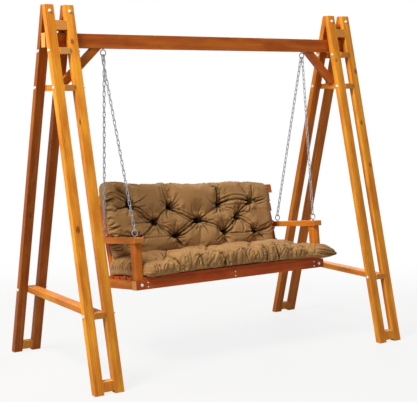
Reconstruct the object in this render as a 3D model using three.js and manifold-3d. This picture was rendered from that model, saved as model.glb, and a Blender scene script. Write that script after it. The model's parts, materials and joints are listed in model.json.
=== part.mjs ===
// A free-standing garden swing: two timber A-shaped side frames carry a beam, and a bench with
// tufted cushions hangs from it on four chains.
//
// Millimetres. +X along the beam, +Y to the rear, +Z up. The origin is on the ground, under the
// middle of the beam. The swinging part turns about an X axis through the two rings under the beam.

import * as THREE from "three";
import { mergeVertices } from "three/addons/utils/BufferGeometryUtils.js";
import Module from "manifold-3d";

const wasm = await Module();
wasm.setup();

// ---------------------------------------------------------------- driving dimensions

const GAP = 0.3; // left between a hanging or soft piece and its neighbour

// side frames
const HEIGHT = 2050; // flat top of the side frames
const WIDTH = 2170; // over the outer stiles
const DEPTH = 1106; // over the feet, front to rear
const TOP_DEPTH = 50; // over the flat top, front to rear
const STILE_W = 55; // along X
const STILE_D = 38; // square to its sloping face
const STILE_GAP = 65; // between the two stiles of a pair
const LEAN = (DEPTH - TOP_DEPTH) / 2 / HEIGHT; // run of the sloping faces per unit of height
const STILE_RUN = STILE_D * Math.hypot(1, LEAN); // the stile's depth on the level

// pieces held between the stiles of a pair: height of the underside and thickness; the upper
// ones hang this far below the flat top
const TOP_BLOCK_DROP = 139;
const BEARER_DROP = 270;
const BRACE_TIE_DROP = 470;
const TOP_BLOCK = { z: HEIGHT - TOP_BLOCK_DROP, h: 53 };
const BEAM_BEARER = { z: HEIGHT - BEARER_DROP, h: 36, proud: 5 };
const BRACE_TIE = { z: HEIGHT - BRACE_TIE_DROP, h: 34, proud: 3 };
const LOW_TIE = { z: 383, h: 34, proud: 3 };
const FOOT_BLOCK = { z: 14.5, h: 52 };

// beam and knee braces
const BEAM_T = 50;
const BEAM_H = 80;
const BEAM_Z = BEAM_BEARER.z + BEAM_BEARER.h;
const BRACE_T = 38;
const BRACE_FOOT = { inset: 105, half: 31 }; // middle of each end, in from the beam's end
const BRACE_HEAD = { inset: 317, half: 31 };

// rings: a welded eye on a shank that is screwed into the timber
const EYE_R = 17; // centre line of the ring
const EYE_WIRE = 3; // radius
const EYE_NECK = 4; // from the timber to the ring
const SHANK_R = 4;
const SHANK_LENGTH = 30;
const COLLAR_R = 8;
const COLLAR_H = 2;
const BORE_CLEARANCE = 0.4;
const HANG_INSET = 368; // rings under the beam, in from its ends
const HANG_X = WIDTH / 2 - HANG_INSET;
const HINGE_Z = BEAM_Z - EYE_NECK - 2 * EYE_R - EYE_WIRE; // centre of the ring's lowest wire

// chains
const LINK_WIRE = 2.4; // radius
const LINK_W = 18; // over the wire
const LINKS = 35; // in each chain, an odd count, so that both end links stand square to their rings
const LINK_BITE = 0.25; // taut links press into each other by this
const BOW_SLOPE = Math.atan(0.5); // of a link's bow, each side of its tip
const TOP_SPREAD = 6.2; // the front chain hangs this far outside the ring's middle, the rear inside

// bench, in its own frame: z = 0 on the top of the seat slats, y = 0 near the back of the seat
const TILT = 7; // degrees, front edge up, as it hangs
const BENCH_Y = 13.4;
const BENCH_Z = 504.5;
const BENCH_HALF = 617; // inner faces of the side rails and armrests
const SEAT_FRONT = -290;
const RAIL_H = 53;
const RAIL_D = 50; // front rail
const RAIL_OVERHANG = 16.5; // front rail past the side rails
const SIDE_RAIL_W = 44;
const SIDE_RAIL_REAR = 76; // past the front line of the back posts
const BEARER_W = 45;
const BEARER_X = [-440, 0, 440];
const SEAT_SLAT = { t: 18, w: 62, gap: 14, count: 5 };
const ARM = { w: 55, h: 33, z: 191, front: 12, rear: 102, round: 7 };
const ARM_POST = { w: 43, d: 51, inset: 8 };
const REAR_EYE = 24; // behind the front line of the back posts, at the seat
const BACK_LINE = 84; // front line of the back posts at z = 0
const RAKE = 0.19; // run of the back posts per unit of height
const BACK_POST = { w: 43, d: 44, top: 462 };
const BACK_SLAT = { t: 22, h: 56, pitch: 119, count: 4, top: 472, overhang: 23, shy: 7 };

// cushions: how far they end from the inner faces of the armrests, left and right, and their tufts
const SEAT_PAD = {
  shy: [5, 7], overhang: 26, rear: 14, thick: 108, seam: 26,
  tuftRows: [4, 3], tuftPitch: 288, rowPitch: 150, tuftShift: 0, tuftRadius: 100, tuftDepth: 24,
  cells: [26, 9, 2],
};
const BACK_PAD = {
  shy: [-1, 43], low: 94, high: 506, thick: 112, seam: 36,
  tuftRows: [4, 3, 4], tuftPitch: 288, rowPitch: 94, tuftShift: -38, tuftRadius: 104, tuftDepth: 44,
  cells: [32, 13, 2],
};
// The seat cushion's front right corner is pressed out to a full point in front of the arm post:
// where its axis starts and ends, from that corner of the seat, and its radius along the way.
const SEAT_EAR = {
  from: [-77, 14, 52], to: [85, -102, 15],
  radii: [[0, 0], [0.06, 30], [0.3, 42], [0.6, 34], [0.85, 17], [0.985, 4], [1, 0]],
};

// ---------------------------------------------------------------- materials

const paint = (color, roughness, metalness) =>
  new THREE.MeshStandardMaterial({ color, roughness, metalness });

const WOOD = {
  stile: paint(0xd4862e, 0.45, 0),
  beam: paint(0xa0522a, 0.45, 0),
  tie: paint(0xcf8a3a, 0.5, 0),
  rail: paint(0x8d4118, 0.45, 0),
  arm: paint(0xd17926, 0.42, 0),
  back: paint(0xa5531f, 0.45, 0),
};
const STEEL = paint(0x9a9c9e, 0.35, 0.9);
const CLOTH = paint(0x93673d, 0.85, 0);

// ---------------------------------------------------------------- helpers

const product = new THREE.Group();

function place(parent, name, geometry, material) {
  const mesh = new THREE.Mesh(geometry, material);
  mesh.name = name;
  parent.add(mesh);
  return mesh;
}

function welded(geometry) {
  const g = geometry.clone();
  g.deleteAttribute("normal");
  g.deleteAttribute("uv");
  return mergeVertices(g, 1e-4);
}

function solid(geometry) {
  const g = welded(geometry);
  return new wasm.Manifold(new wasm.Mesh({
    numProp: 3,
    vertProperties: new Float32Array(g.attributes.position.array),
    triVerts: new Uint32Array(g.index.array),
  }));
}

function geometryOf(manifold) {
  const mesh = manifold.getMesh();
  const g = new THREE.BufferGeometry();
  g.setAttribute("position", new THREE.BufferAttribute(new Float32Array(mesh.vertProperties), 3));
  g.setIndex(new THREE.BufferAttribute(new Uint32Array(mesh.triVerts), 1));
  g.computeVertexNormals();
  return g;
}

// A closed outline of [x, y] points.
function outline(points) {
  const shape = new THREE.Shape();
  points.forEach(([x, y], i) => (i ? shape.lineTo(x, y) : shape.moveTo(x, y)));
  shape.closePath();
  return shape;
}

function extruded(shape, depth, curveSegments = 4) {
  return new THREE.ExtrudeGeometry(shape, { depth, bevelEnabled: false, steps: 1, curveSegments });
}

// Turns a profile drawn in (y, z) and extruded along its normal into one that runs along X.
const ALONG_X = new THREE.Matrix4().makeBasis(
  new THREE.Vector3(0, 1, 0), new THREE.Vector3(0, 0, 1), new THREE.Vector3(1, 0, 0));
// The same for a profile drawn in (x, z): it runs along -Y.
const ALONG_Y = new THREE.Matrix4().makeBasis(
  new THREE.Vector3(1, 0, 0), new THREE.Vector3(0, 0, 1), new THREE.Vector3(0, -1, 0));

// A profile in (y, z), from x to x + width.
function acrossX(points, x, width) {
  return extruded(outline(points), width).applyMatrix4(ALONG_X).translate(x, 0, 0);
}

// A profile in (x, z), centred on y = 0 and this thick.
function acrossY(shape, thickness, segments) {
  return extruded(shape, thickness, segments).applyMatrix4(ALONG_Y).translate(0, thickness / 2, 0);
}

// A plank by its low corner and its size.
function plank(x, y, z, w, d, h) {
  return new THREE.BoxGeometry(w, d, h).translate(x + w / 2, y + d / 2, z + h / 2);
}

// A plank of the bench, which is slimmer by half a gap on each face.
function benchPlank(x, y, z, w, d, h) {
  return new THREE.BoxGeometry(w - GAP, d - GAP, h - GAP).translate(x + w / 2, y + d / 2, z + h / 2);
}

// ---------------------------------------------------------------- side frames

const SIDES = [["left", -1], ["right", 1]];
const outerX = WIDTH / 2 - STILE_W; // inner face of the outer stile, on the right
const innerX = outerX - STILE_GAP - STILE_W;
const gapX = innerX + STILE_W; // where the gap between the stiles starts

// The front stiles' sloping faces: y of the front face and of the rear face at height z.
const frontFace = (z) => -(DEPTH / 2 - LEAN * z);
const rearFace = (z) => frontFace(z) + STILE_RUN;

// The front and rear stiles lean together and meet on the plane y = 0.
function stileProfile(toward) {
  const meet = (DEPTH / 2 - STILE_RUN) / LEAN;
  return [
    [frontFace(0), 0], [rearFace(0), 0], [0, meet], [0, HEIGHT], [frontFace(HEIGHT), HEIGHT],
  ].map(([y, z]) => [toward * y, z]);
}

// A tie whose square ends stand proud of both sloping faces.
function tieProfile({ z, h, proud }) {
  const reach = -frontFace(z + h / 2) + proud;
  return [[-reach, z], [reach, z], [reach, z + h], [-reach, z + h]];
}

// A block whose ends are flush with both sloping faces.
function flushProfile({ z, h }) {
  const low = -frontFace(z);
  const high = -frontFace(z + h);
  return [[-low, z], [low, z], [high, z + h], [-high, z + h]];
}

function footProfile(toward, { z, h }) {
  return [
    [frontFace(z), z], [rearFace(z), z], [rearFace(z + h), z + h], [frontFace(z + h), z + h],
  ].map(([y, level]) => [toward * y, level]);
}

// Mirrors a span of x for the left-hand side.
const spanX = (side, x, w) => (side < 0 ? -x - w : x);

for (const [hand, side] of SIDES) {
  for (const [end, toward] of [["front", 1], ["rear", -1]]) {
    for (const [row, x] of [["outer", outerX], ["inner", innerX]]) {
      place(product, `stile_${hand}_${end}_${row}`,
        acrossX(stileProfile(toward), spanX(side, x, STILE_W), STILE_W), WOOD.stile);
    }
    place(product, `foot_block_${hand}_${end}`,
      acrossX(footProfile(toward, FOOT_BLOCK), spanX(side, gapX, STILE_GAP), STILE_GAP), WOOD.tie);
  }
  const across = (profile) => acrossX(profile, spanX(side, gapX, STILE_GAP), STILE_GAP);
  place(product, `top_block_${hand}`, across(flushProfile(TOP_BLOCK)), WOOD.tie);
  place(product, `beam_bearer_${hand}`, across(tieProfile(BEAM_BEARER)), WOOD.tie);
  place(product, `brace_tie_${hand}`, across(tieProfile(BRACE_TIE)), WOOD.tie);
  place(product, `low_tie_${hand}`, across(tieProfile(LOW_TIE)), WOOD.tie);

  const footZ = BRACE_TIE.z + BRACE_TIE.h;
  const end = ({ inset, half }, way) => side * (WIDTH / 2 - inset + way * half);
  const brace = outline([
    [end(BRACE_FOOT, -1), footZ], [end(BRACE_FOOT, 1), footZ],
    [end(BRACE_HEAD, 1), BEAM_Z], [end(BRACE_HEAD, -1), BEAM_Z],
  ]);
  place(product, `knee_brace_${hand}`, acrossY(brace, BRACE_T), WOOD.beam);
}

// ---------------------------------------------------------------- rings

// The eye stands on z = 0 with its shank below, in the plane y = 0.
function eyeGeometry() {
  const ring = solid(new THREE.TorusGeometry(EYE_R, EYE_WIRE, 6, 16).rotateX(Math.PI / 2)
    .translate(0, 0, EYE_NECK + EYE_WIRE + EYE_R));
  const profile = [
    [0, -SHANK_LENGTH], [SHANK_R * 0.4, -SHANK_LENGTH], [SHANK_R, -SHANK_LENGTH + 5], [SHANK_R, 0],
    [COLLAR_R, 0], [COLLAR_R, COLLAR_H], [SHANK_R, COLLAR_H], [SHANK_R, EYE_NECK + EYE_WIRE * 0.8],
    [0, EYE_NECK + EYE_WIRE * 0.8],
  ].map(([r, z]) => new THREE.Vector2(r, z));
  const shank = solid(new THREE.LatheGeometry(profile, 8).rotateX(Math.PI / 2));
  return geometryOf(ring.add(shank));
}

// Takes the shank's bore out of a piece of timber, from its face at (x, y, z), up or down.
function bored(geometry, mouths) {
  let body = solid(geometry);
  const depth = SHANK_LENGTH + 1;
  for (const [x, y, z, down] of mouths) {
    const bore = new THREE.CylinderGeometry(SHANK_R + BORE_CLEARANCE, SHANK_R + BORE_CLEARANCE,
      depth + 1, 8).rotateX(Math.PI / 2);
    body = body.subtract(solid(bore.translate(x, y, z + (down * (depth - 1)) / 2)));
  }
  return geometryOf(body);
}

const beamTimber = plank(-WIDTH / 2, -BEAM_T / 2, BEAM_Z, WIDTH, BEAM_T, BEAM_H);
place(product, "beam",
  bored(beamTimber, SIDES.map(([, side]) => [side * HANG_X, 0, BEAM_Z, 1])), WOOD.beam);
for (const [hand, side] of SIDES) {
  const eye = place(product, `beam_eye_${hand}`, eyeGeometry(), STEEL);
  eye.rotation.x = Math.PI;
  eye.position.set(side * HANG_X, 0, BEAM_Z);
}

// ---------------------------------------------------------------- bench

const bench = new THREE.Group();
bench.position.set(0, BENCH_Y, BENCH_Z);
bench.rotation.x = THREE.MathUtils.degToRad(-TILT);
product.add(bench);

const railTop = -SEAT_SLAT.t;
const railZ = railTop - RAIL_H;
const railRear = SEAT_FRONT + RAIL_D; // rear face of the front rail
const rearRailY = BACK_LINE + RAKE * railTop - 8;
const backPostX = BENCH_HALF - BACK_POST.w;
const armY = SEAT_FRONT - ARM.front;
const armTop = ARM.z + ARM.h;
const eyeX = BENCH_HALF + ARM.w / 2;
const armPostX = eyeX - ARM_POST.w / 2;
const armPostY = SEAT_FRONT + ARM_POST.inset;
const frontEyeY = armPostY + ARM_POST.d / 2;
const rearEyeY = BACK_LINE + REAR_EYE;

const frontRailHalf = BENCH_HALF + SIDE_RAIL_W + RAIL_OVERHANG;
place(bench, "front_rail", benchPlank(-frontRailHalf, SEAT_FRONT, railZ,
  2 * frontRailHalf, RAIL_D, RAIL_H), WOOD.rail);
place(bench, "rear_rail", benchPlank(-backPostX, rearRailY, railZ,
  2 * backPostX, BACK_POST.d, RAIL_H), WOOD.rail);
BEARER_X.forEach((x, i) => {
  place(bench, `seat_bearer_${i + 1}`, benchPlank(x - BEARER_W / 2, railRear, railZ,
    BEARER_W, rearRailY - railRear, RAIL_H), WOOD.rail);
});
// The front slat lies between the arm posts, and the others run over the side rails.
for (let i = 0; i < SEAT_SLAT.count; i++) {
  const half = i ? BENCH_HALF + SIDE_RAIL_W : armPostX;
  place(bench, `seat_slat_${i + 1}`, benchPlank(-half, SEAT_FRONT + i * (SEAT_SLAT.w + SEAT_SLAT.gap),
    railTop, 2 * half, SEAT_SLAT.w, SEAT_SLAT.t), WOOD.rail);
}

// A raked piece with level ends, set back from the front line of the back posts. It is slimmer by
// half a gap on each face.
const backLine = (z) => BACK_LINE + RAKE * z;
function raked(back, depth, low, high, x, w) {
  const edge = GAP / 2;
  const rearward = (z, run) => [backLine(z) + back + run, z];
  return acrossX([
    rearward(low + edge, edge), rearward(low + edge, depth - edge),
    rearward(high - edge, depth - edge), rearward(high - edge, edge),
  ], x + edge, w - GAP);
}

// An armrest: a plank with its front end softened, and bores for its two rings.
function armGeometry(side) {
  const { w, rear, round } = ARM;
  const [low, high] = [ARM.z + GAP / 2, armTop - GAP / 2];
  const shape = new THREE.Shape();
  shape.moveTo(armY + round / 2, low);
  shape.lineTo(BACK_LINE + rear, low);
  shape.lineTo(BACK_LINE + rear, high);
  shape.lineTo(armY + round, high);
  shape.absarc(armY + round, high - round, round, Math.PI / 2, Math.PI, false);
  shape.lineTo(armY, low + round / 2);
  shape.closePath();
  const arm = extruded(shape, w - GAP, 3).applyMatrix4(ALONG_X)
    .translate(spanX(side, BENCH_HALF, w) + GAP / 2, 0, 0);
  return bored(arm, [[side * eyeX, frontEyeY, high, -1], [side * eyeX, rearEyeY, high, -1]]);
}

for (const [hand, side] of SIDES) {
  place(bench, `side_rail_${hand}`, benchPlank(spanX(side, BENCH_HALF, SIDE_RAIL_W), railRear,
    railZ, SIDE_RAIL_W, BACK_LINE + SIDE_RAIL_REAR - railRear, RAIL_H), WOOD.rail);
  place(bench, `arm_post_${hand}`, benchPlank(spanX(side, armPostX, ARM_POST.w), armPostY,
    railTop, ARM_POST.w, ARM_POST.d, ARM.z - railTop), WOOD.arm);
  place(bench, `armrest_${hand}`, armGeometry(side), WOOD.arm);
  place(bench, `back_post_${hand}`, raked(0, BACK_POST.d, railZ, BACK_POST.top,
    spanX(side, backPostX, BACK_POST.w), BACK_POST.w), WOOD.back);
  for (const [end, y] of [["front", frontEyeY], ["rear", rearEyeY]]) {
    const eye = place(bench, `arm_eye_${hand}_${end}`, eyeGeometry(), STEEL);
    eye.position.set(side * eyeX, y, armTop);
  }
}
place(bench, "back_stile_middle", raked(0, BACK_POST.d * 0.75, railTop, BACK_POST.top,
  -BACK_POST.w / 2, BACK_POST.w), WOOD.back);
for (let i = 0; i < BACK_SLAT.count; i++) {
  const top = BACK_SLAT.top - i * BACK_SLAT.pitch;
  const half = i ? BENCH_HALF - BACK_SLAT.shy : BENCH_HALF + BACK_SLAT.overhang;
  place(bench, `back_slat_${i + 1}`, raked(-BACK_SLAT.t, BACK_SLAT.t, top - BACK_SLAT.h, top,
    -half, 2 * half), WOOD.back);
}

// ---------------------------------------------------------------- chains

// One link, standing along Y about its middle, its wire square in section. Its bows are drawn
// apart from a ring so that the wire's centre line is this long.
function linkGeometry(length) {
  const reach = (LINK_W - 2 * LINK_WIRE) / 2;
  const ring = new THREE.TorusGeometry(1, LINK_WIRE / reach, 4, 6).rotateZ(Math.PI / 6);
  const position = ring.attributes.position;
  const straight = length / 2 - reach;
  const widen = 1 / Math.cos(Math.PI / 6);
  for (let i = 0; i < position.count; i++) {
    const y = position.getY(i) * reach;
    position.setXYZ(i, position.getX(i) * reach * widen, y + Math.sign(y) * straight,
      position.getZ(i) * reach);
  }
  return ring;
}

// A taut chain between the middles of two ring wires. The bow at each end clears the ring's wire,
// and its first and last links stand square to the rings.
function chainGeometry(from, to) {
  const along = to.clone().sub(from);
  const span = along.length();
  along.normalize();
  const bow = (EYE_WIRE + GAP) / Math.cos(BOW_SLOPE) + LINK_WIRE;
  const topBow = bow + (TOP_SPREAD + LINK_WIRE) ** 2 / (2 * EYE_R); // the ring's wire curves up
  const step = 2 * LINK_WIRE - LINK_BITE;
  const length = (span + topBow + bow + (LINKS - 1) * step) / LINKS;
  const across = new THREE.Vector3(1, 0, 0).cross(along).normalize();
  const other = along.clone().cross(across).normalize();
  const link = linkGeometry(length);
  let chain = null;
  for (let i = 0; i < LINKS; i++) {
    const middle = -topBow + length / 2 + i * (length - step);
    const [u, w] = i % 2 ? [other, across.clone().negate()] : [across, other];
    const frame = new THREE.Matrix4().makeBasis(u, along, u.clone().cross(along).normalize());
    frame.setPosition(from.clone().addScaledVector(along, middle));
    const one = solid(link.clone().applyMatrix4(frame));
    chain = chain ? chain.add(one) : one;
  }
  return geometryOf(chain);
}

bench.updateMatrixWorld(true);
for (const [hand, side] of SIDES) {
  for (const [end, y, spread] of [["front", frontEyeY, TOP_SPREAD], ["rear", rearEyeY, -TOP_SPREAD]]) {
    const top = new THREE.Vector3(side * (HANG_X + spread), 0, HINGE_Z);
    const low = bench.localToWorld(new THREE.Vector3(side * eyeX, y,
      armTop + EYE_NECK + EYE_WIRE + 2 * EYE_R));
    place(product, `chain_${hand}_${end}`, chainGeometry(top, low), STEEL);
  }
}

// ---------------------------------------------------------------- cushions

// Smooth bump of height 1 at the middle that dies away at the given radius.
const bump = (d, radius) => (d < radius ? (1 - (d / radius) ** 2) ** 2 : 0);
// From 0 before the start to 1 at the far end of [-1, 1].
const beyond = (t, start) => Math.max(0, (t - start) / (1 - start));

// Rows of tufts, each row's count given, spread evenly and centred.
function tuftSpots({ tuftRows, tuftPitch, rowPitch, tuftShift }) {
  return tuftRows.flatMap((count, row) => Array.from({ length: count }, (_, k) => [
    tuftShift + (k - (count - 1) / 2) * tuftPitch, (row - (tuftRows.length - 1) / 2) * rowPitch]));
}

// How long a pad is, and where its middle lies along the bench.
const padLength = ({ shy }) => 2 * BENCH_HALF - shy[0] - shy[1];
const padMiddle = ({ shy }) => (shy[0] - shy[1]) / 2;

// A stuffed pad: u along, v across, w through, with its flat side on w = 0. Its rim narrows to a
// seam, its edges are drawn in between pointed corners, its face is crowned and each tuft sinks.
function padGeometry(pad, depth) {
  const length = padLength(pad);
  const spots = tuftSpots(pad);
  const box = new THREE.BoxGeometry(2, 2, 2, ...pad.cells);
  const p = box.attributes.position;
  for (let i = 0; i < p.count; i++) {
    // cells crowd toward the rim, where the form turns
    const a = Math.sin((p.getX(i) * Math.PI) / 2) * 0.35 + p.getX(i) * 0.65;
    const b = Math.sin((p.getY(i) * Math.PI) / 2) * 0.35 + p.getY(i) * 0.65;
    const c = p.getZ(i);
    const rim = Math.min(1, Math.hypot(beyond(Math.abs(a), 0.86), beyond(Math.abs(b), 0.5)));
    const crown = Math.sqrt(1 - rim ** 2.6);
    const drawn = [0.045 * depth * (1 - b * b), 0.05 * depth * (1 - a ** 4)];
    const u = (a * length) / 2 - Math.sign(a) * beyond(Math.abs(a), 0.86) * drawn[0];
    const v = (b * depth) / 2 - Math.sign(b) * beyond(Math.abs(b), 0.5) * drawn[1];
    const reach = c > 0 ? pad.thick - pad.seam : pad.seam;
    let w = pad.seam + c * reach * (0.12 + 0.88 * crown);
    const low = 1 - 0.12 - 0.88 * crown;
    for (const [tu, tv] of c > 0 ? spots : []) {
      w -= c * pad.tuftDepth * bump(Math.hypot(u - tu, v - tv), pad.tuftRadius) * (1 - low);
    }
    p.setXYZ(i, u, v, w);
  }
  return box;
}

const seatFront = SEAT_FRONT - SEAT_PAD.overhang;
const seatDepth = BACK_LINE - SEAT_PAD.rear - seatFront;
const seatMiddle = [padMiddle(SEAT_PAD), seatFront + seatDepth / 2];

// A pointed swelling about a slanting axis, set at the seat's front right corner.
function earGeometry({ from, to, radii }) {
  const start = new THREE.Vector3(...from);
  const axis = new THREE.Vector3(...to).sub(start);
  const profile = radii.map(([t, r]) => new THREE.Vector2(t && t < 1 ? r : 0, t * axis.length()));
  const turn = new THREE.Quaternion().setFromUnitVectors(
    new THREE.Vector3(0, 1, 0), axis.clone().normalize());
  return new THREE.LatheGeometry(profile, 10).applyQuaternion(turn)
    .translate(from[0] + BENCH_HALF, from[1] + SEAT_FRONT, from[2]);
}

const seatPad = padGeometry(SEAT_PAD, seatDepth).translate(...seatMiddle, GAP);
place(bench, "seat_cushion", geometryOf(solid(seatPad).add(solid(earGeometry(SEAT_EAR)))), CLOTH);

const backDepth = BACK_PAD.high - BACK_PAD.low;
const backMiddle = BACK_PAD.low + backDepth / 2;
const backPad = place(bench, "back_cushion", padGeometry(BACK_PAD, backDepth), CLOTH);
backPad.rotation.x = Math.PI / 2 - Math.atan(RAKE);
backPad.position.set(padMiddle(BACK_PAD),
  backLine(backMiddle) - BACK_SLAT.t - 2 * GAP, backMiddle);

export default product;
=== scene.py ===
"""A garden swing, dressed: finishes for its boards, ironwork, chains, tufted cushions and a stage.

Metres, +Z up. The swing stands on the ground with its origin under the middle of the beam."""

import json
import math

import bmesh
import bpy
import numpy as np
from mathutils import Matrix, Vector

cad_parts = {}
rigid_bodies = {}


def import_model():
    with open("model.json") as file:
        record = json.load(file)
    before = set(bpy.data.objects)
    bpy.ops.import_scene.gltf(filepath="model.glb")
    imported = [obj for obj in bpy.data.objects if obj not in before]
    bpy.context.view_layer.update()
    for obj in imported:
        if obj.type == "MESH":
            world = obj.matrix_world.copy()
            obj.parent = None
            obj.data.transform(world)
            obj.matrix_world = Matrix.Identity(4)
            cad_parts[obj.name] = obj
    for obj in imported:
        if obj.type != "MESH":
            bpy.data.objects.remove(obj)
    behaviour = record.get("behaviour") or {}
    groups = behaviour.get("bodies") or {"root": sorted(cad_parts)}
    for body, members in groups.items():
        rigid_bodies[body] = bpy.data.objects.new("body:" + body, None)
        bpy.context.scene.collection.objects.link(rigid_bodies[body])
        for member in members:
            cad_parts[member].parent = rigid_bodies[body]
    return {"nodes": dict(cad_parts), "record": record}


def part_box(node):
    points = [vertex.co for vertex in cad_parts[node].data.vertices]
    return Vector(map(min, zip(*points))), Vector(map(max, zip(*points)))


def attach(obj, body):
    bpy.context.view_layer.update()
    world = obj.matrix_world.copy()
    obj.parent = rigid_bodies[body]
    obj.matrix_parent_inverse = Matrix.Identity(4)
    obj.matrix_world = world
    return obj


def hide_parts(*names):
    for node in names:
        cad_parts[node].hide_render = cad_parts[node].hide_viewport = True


for spare in list(bpy.data.objects):
    bpy.data.objects.remove(spare)
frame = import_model()

bl_info = {
    "name": "Garden Swing Dressing",
    "version": (1, 0, 0),
    "blender": (4, 5, 0),
    "location": "3D View > Sidebar > Swing",
    "description": "Finishes, ironwork, chains and cushions for a timber garden swing",
    "category": "Object",
}

STAND = "stand"
BENCH = "swing_seat"
SIDES = (("left", -1), ("right", 1))
ENDS = ("front", "rear")

X_AXIS = Vector((1, 0, 0))
Y_AXIS = Vector((0, 1, 0))
Z_AXIS = Vector((0, 0, 1))

# side frames
FRAME_HEIGHT = 2.05
FOOT_Y = 0.553  # outer edge of the feet, front and rear
TOP_Y = 0.025
TOP_BOLT_DROP = 0.036
LEAN = (FOOT_Y - TOP_Y) / FRAME_HEIGHT
STILE_RUN = 0.038 * math.hypot(1, LEAN)  # a stile from front to rear, measured level

# the bench's own frame: z = 0 on the seat slats, y = 0 near the back of the seat
BENCH_TILT = math.radians(7)
BENCH_FRAME = Matrix.Translation((0, 0.0134, 0.5045)) @ Matrix.Rotation(-BENCH_TILT, 4, "X")
BACK_LINE = 0.084  # y of the back posts' front at z = 0
BACK_RAKE = 0.19  # run of the back posts per unit of height
RAIL_FRONT = -0.29
RAIL_MIDDLE = -0.0445
SEAT_SLATS, SEAT_SLAT_STEP, SEAT_SLAT_HALF = 5, 0.076, 0.031
BACK_SLATS, BACK_SLAT_STEP, BACK_SLAT_HALF = 4, 0.119, 0.028
BACK_SLAT_TOP = 0.472
BACK_SLAT_THICK = 0.022

# rings and chains
HANG_X = 0.717
HINGE_Z = 1.775
TOP_SPREAD = 0.0062  # the front chain hangs this far outside its ring's middle, the rear inside
RING_RADIUS = 0.017
RING_WIRE = 0.003
RING_NECK = 0.004
LINK_WIRE = 0.0024
LINK_WIDTH = 0.018
LINKS = 35
LINK_BITE = 0.00025  # taut links press into each other by this
GAP = 0.0003  # left between a soft or hanging piece and what carries it
BOW_SLOPE = math.atan(0.5)  # how the end link's bow leans on its ring
ARM_TOP = 0.224
ARM_EYE_X = 0.6445
ARM_EYE_Y = {"front": -0.2565, "rear": 0.108}


# ---------------------------------------------------------------- settings


def length(name, description, default, **limits):
    return bpy.props.FloatProperty(
        name=name, description=description, default=default, unit="LENGTH", precision=4, **limits)


def amount(name, description, default, **limits):
    return bpy.props.FloatProperty(name=name, description=description, default=default, **limits)


def colour(name, description, red, green, blue):
    """A colour property, its default given as it looks on screen, from 0 to 255."""
    return bpy.props.FloatVectorProperty(
        name=name, description=description, subtype="COLOR", size=3, min=0, max=1,
        default=[linear(v / 255) for v in (red, green, blue)])


def linear(value):
    """One channel of a colour as light, from how it looks on screen, both from 0 to 1."""
    return value / 12.92 if value <= 0.04045 else ((value + 0.055) / 1.055) ** 2.4


class SwingTimber(bpy.types.PropertyGroup):
    """Finish of the boards."""

    stile_wood: colour("Stiles", "Oiled softwood of the side frames", 216, 138, 42)
    tie_wood: colour("Ties", "Blocks and ties between the stiles", 208, 130, 48)
    beam_wood: colour("Beam", "Beam and knee braces", 198, 102, 38)
    rail_wood: colour("Bench", "Rails, bearers and slats of the seat", 178, 77, 29)
    arm_wood: colour("Armrests", "Armrests and the posts under them", 204, 117, 37)
    back_wood: colour("Back", "Posts and slats of the backrest", 192, 92, 33)
    end_grain: colour("End Grain", "Sawn ends of the boards", 240, 186, 108)
    knot: colour("Knots", "Knots and resin streaks", 112, 46, 16)
    edge: length("Edge Radius", "Rounding of the boards' edges", 0.0022, min=0, max=0.01)
    ring: length("Ring Width", "Distance between two growth rings", 0.0062, min=0.001, max=0.02)
    fibre: length("Grain Depth", "Height of the grain", 0.0005, min=0, max=0.003)


class SwingIron(bpy.types.PropertyGroup):
    """Rings, chains, bolts and screws."""

    zinc: colour("Zinc", "Galvanised rings and chains", 170, 172, 176)
    bright: colour("Bolts", "Bright zinc of the bolts and screws", 234, 232, 226)
    bolt_head: length("Bolt Head", "Radius of a carriage bolt's head", 0.0098, min=0.004, max=0.02)
    bolt_rise: length("Bolt Rise", "Height of a carriage bolt's head", 0.0068, min=0.001, max=0.015)
    nut: length("Nut", "Half the width of a nut over its flats", 0.0065, min=0.003, max=0.02)
    screw_head: length("Screw Head", "Radius of a screw's head", 0.0042, min=0.002, max=0.01)


class SwingCushions(bpy.types.PropertyGroup):
    """Cloth of the two cushions."""

    cloth: colour("Cloth", "Woven cotton of both cushions", 182, 139, 87)
    shade: colour("Weave Shade", "Threads that lie lower in the weave", 136, 97, 56)
    voxel: length("Mesh Size", "Cell of the mesh that is inflated", 0.0055, min=0.004, max=0.02)
    pressure: amount("Pressure", "How hard the filling pushes", 4.0, min=0, max=20)
    fullness: amount("Extra Cloth", "Share of cloth to spare, which folds", 0.08, min=0, max=0.2)
    stiffness: amount("Stiffness", "How hard the cloth is to bend", 0.2, min=0, max=5)
    swell: length("Most Swelling", "How far a point may move", 0.024, min=0, max=0.04)
    # painted shade: the colour that the cloth is darkened towards down in its folds, its pleats and
    # the pits of its tufts
    fold_shade: colour("Fold Shade", "Cloth down in the folds", 33, 19, 9)
    thread: length("Thread", "Distance between two threads", 0.0011, min=0.0003, max=0.005)


class SwingStage(bpy.types.PropertyGroup):
    """Camera, lamps and floor."""

    place: bpy.props.FloatVectorProperty(
        name="Camera Place", description="Where the camera stands", subtype="TRANSLATION",
        unit="LENGTH", size=3, default=(-3.4185, -5.0991, 1.5904))
    heading: amount("Heading", "Turn from +Y towards +X", 0.5593, unit="ROTATION")
    pitch: amount("Pitch", "Turn above the horizon", -0.1079, unit="ROTATION")
    roll: amount("Roll", "Turn about the view", -0.007, unit="ROTATION")
    focal: amount("Focal Length", "In pixels of the picture", 1008.9, min=100, max=5000)
    centre: bpy.props.FloatVectorProperty(
        name="Picture Centre", description="Where the view's axis meets the picture, in pixels",
        size=2, default=(177.6, 197.6))
    key: amount("Key Lamp", "Strength of the key lamp", 1.6, min=0, max=20)
    fill: amount("Sky", "Strength of the light from all round", 0.31, min=0, max=5)
    floor: colour("Floor", "Colour of the floor", 178, 177, 175)


# ---------------------------------------------------------------- wiring of materials


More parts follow.
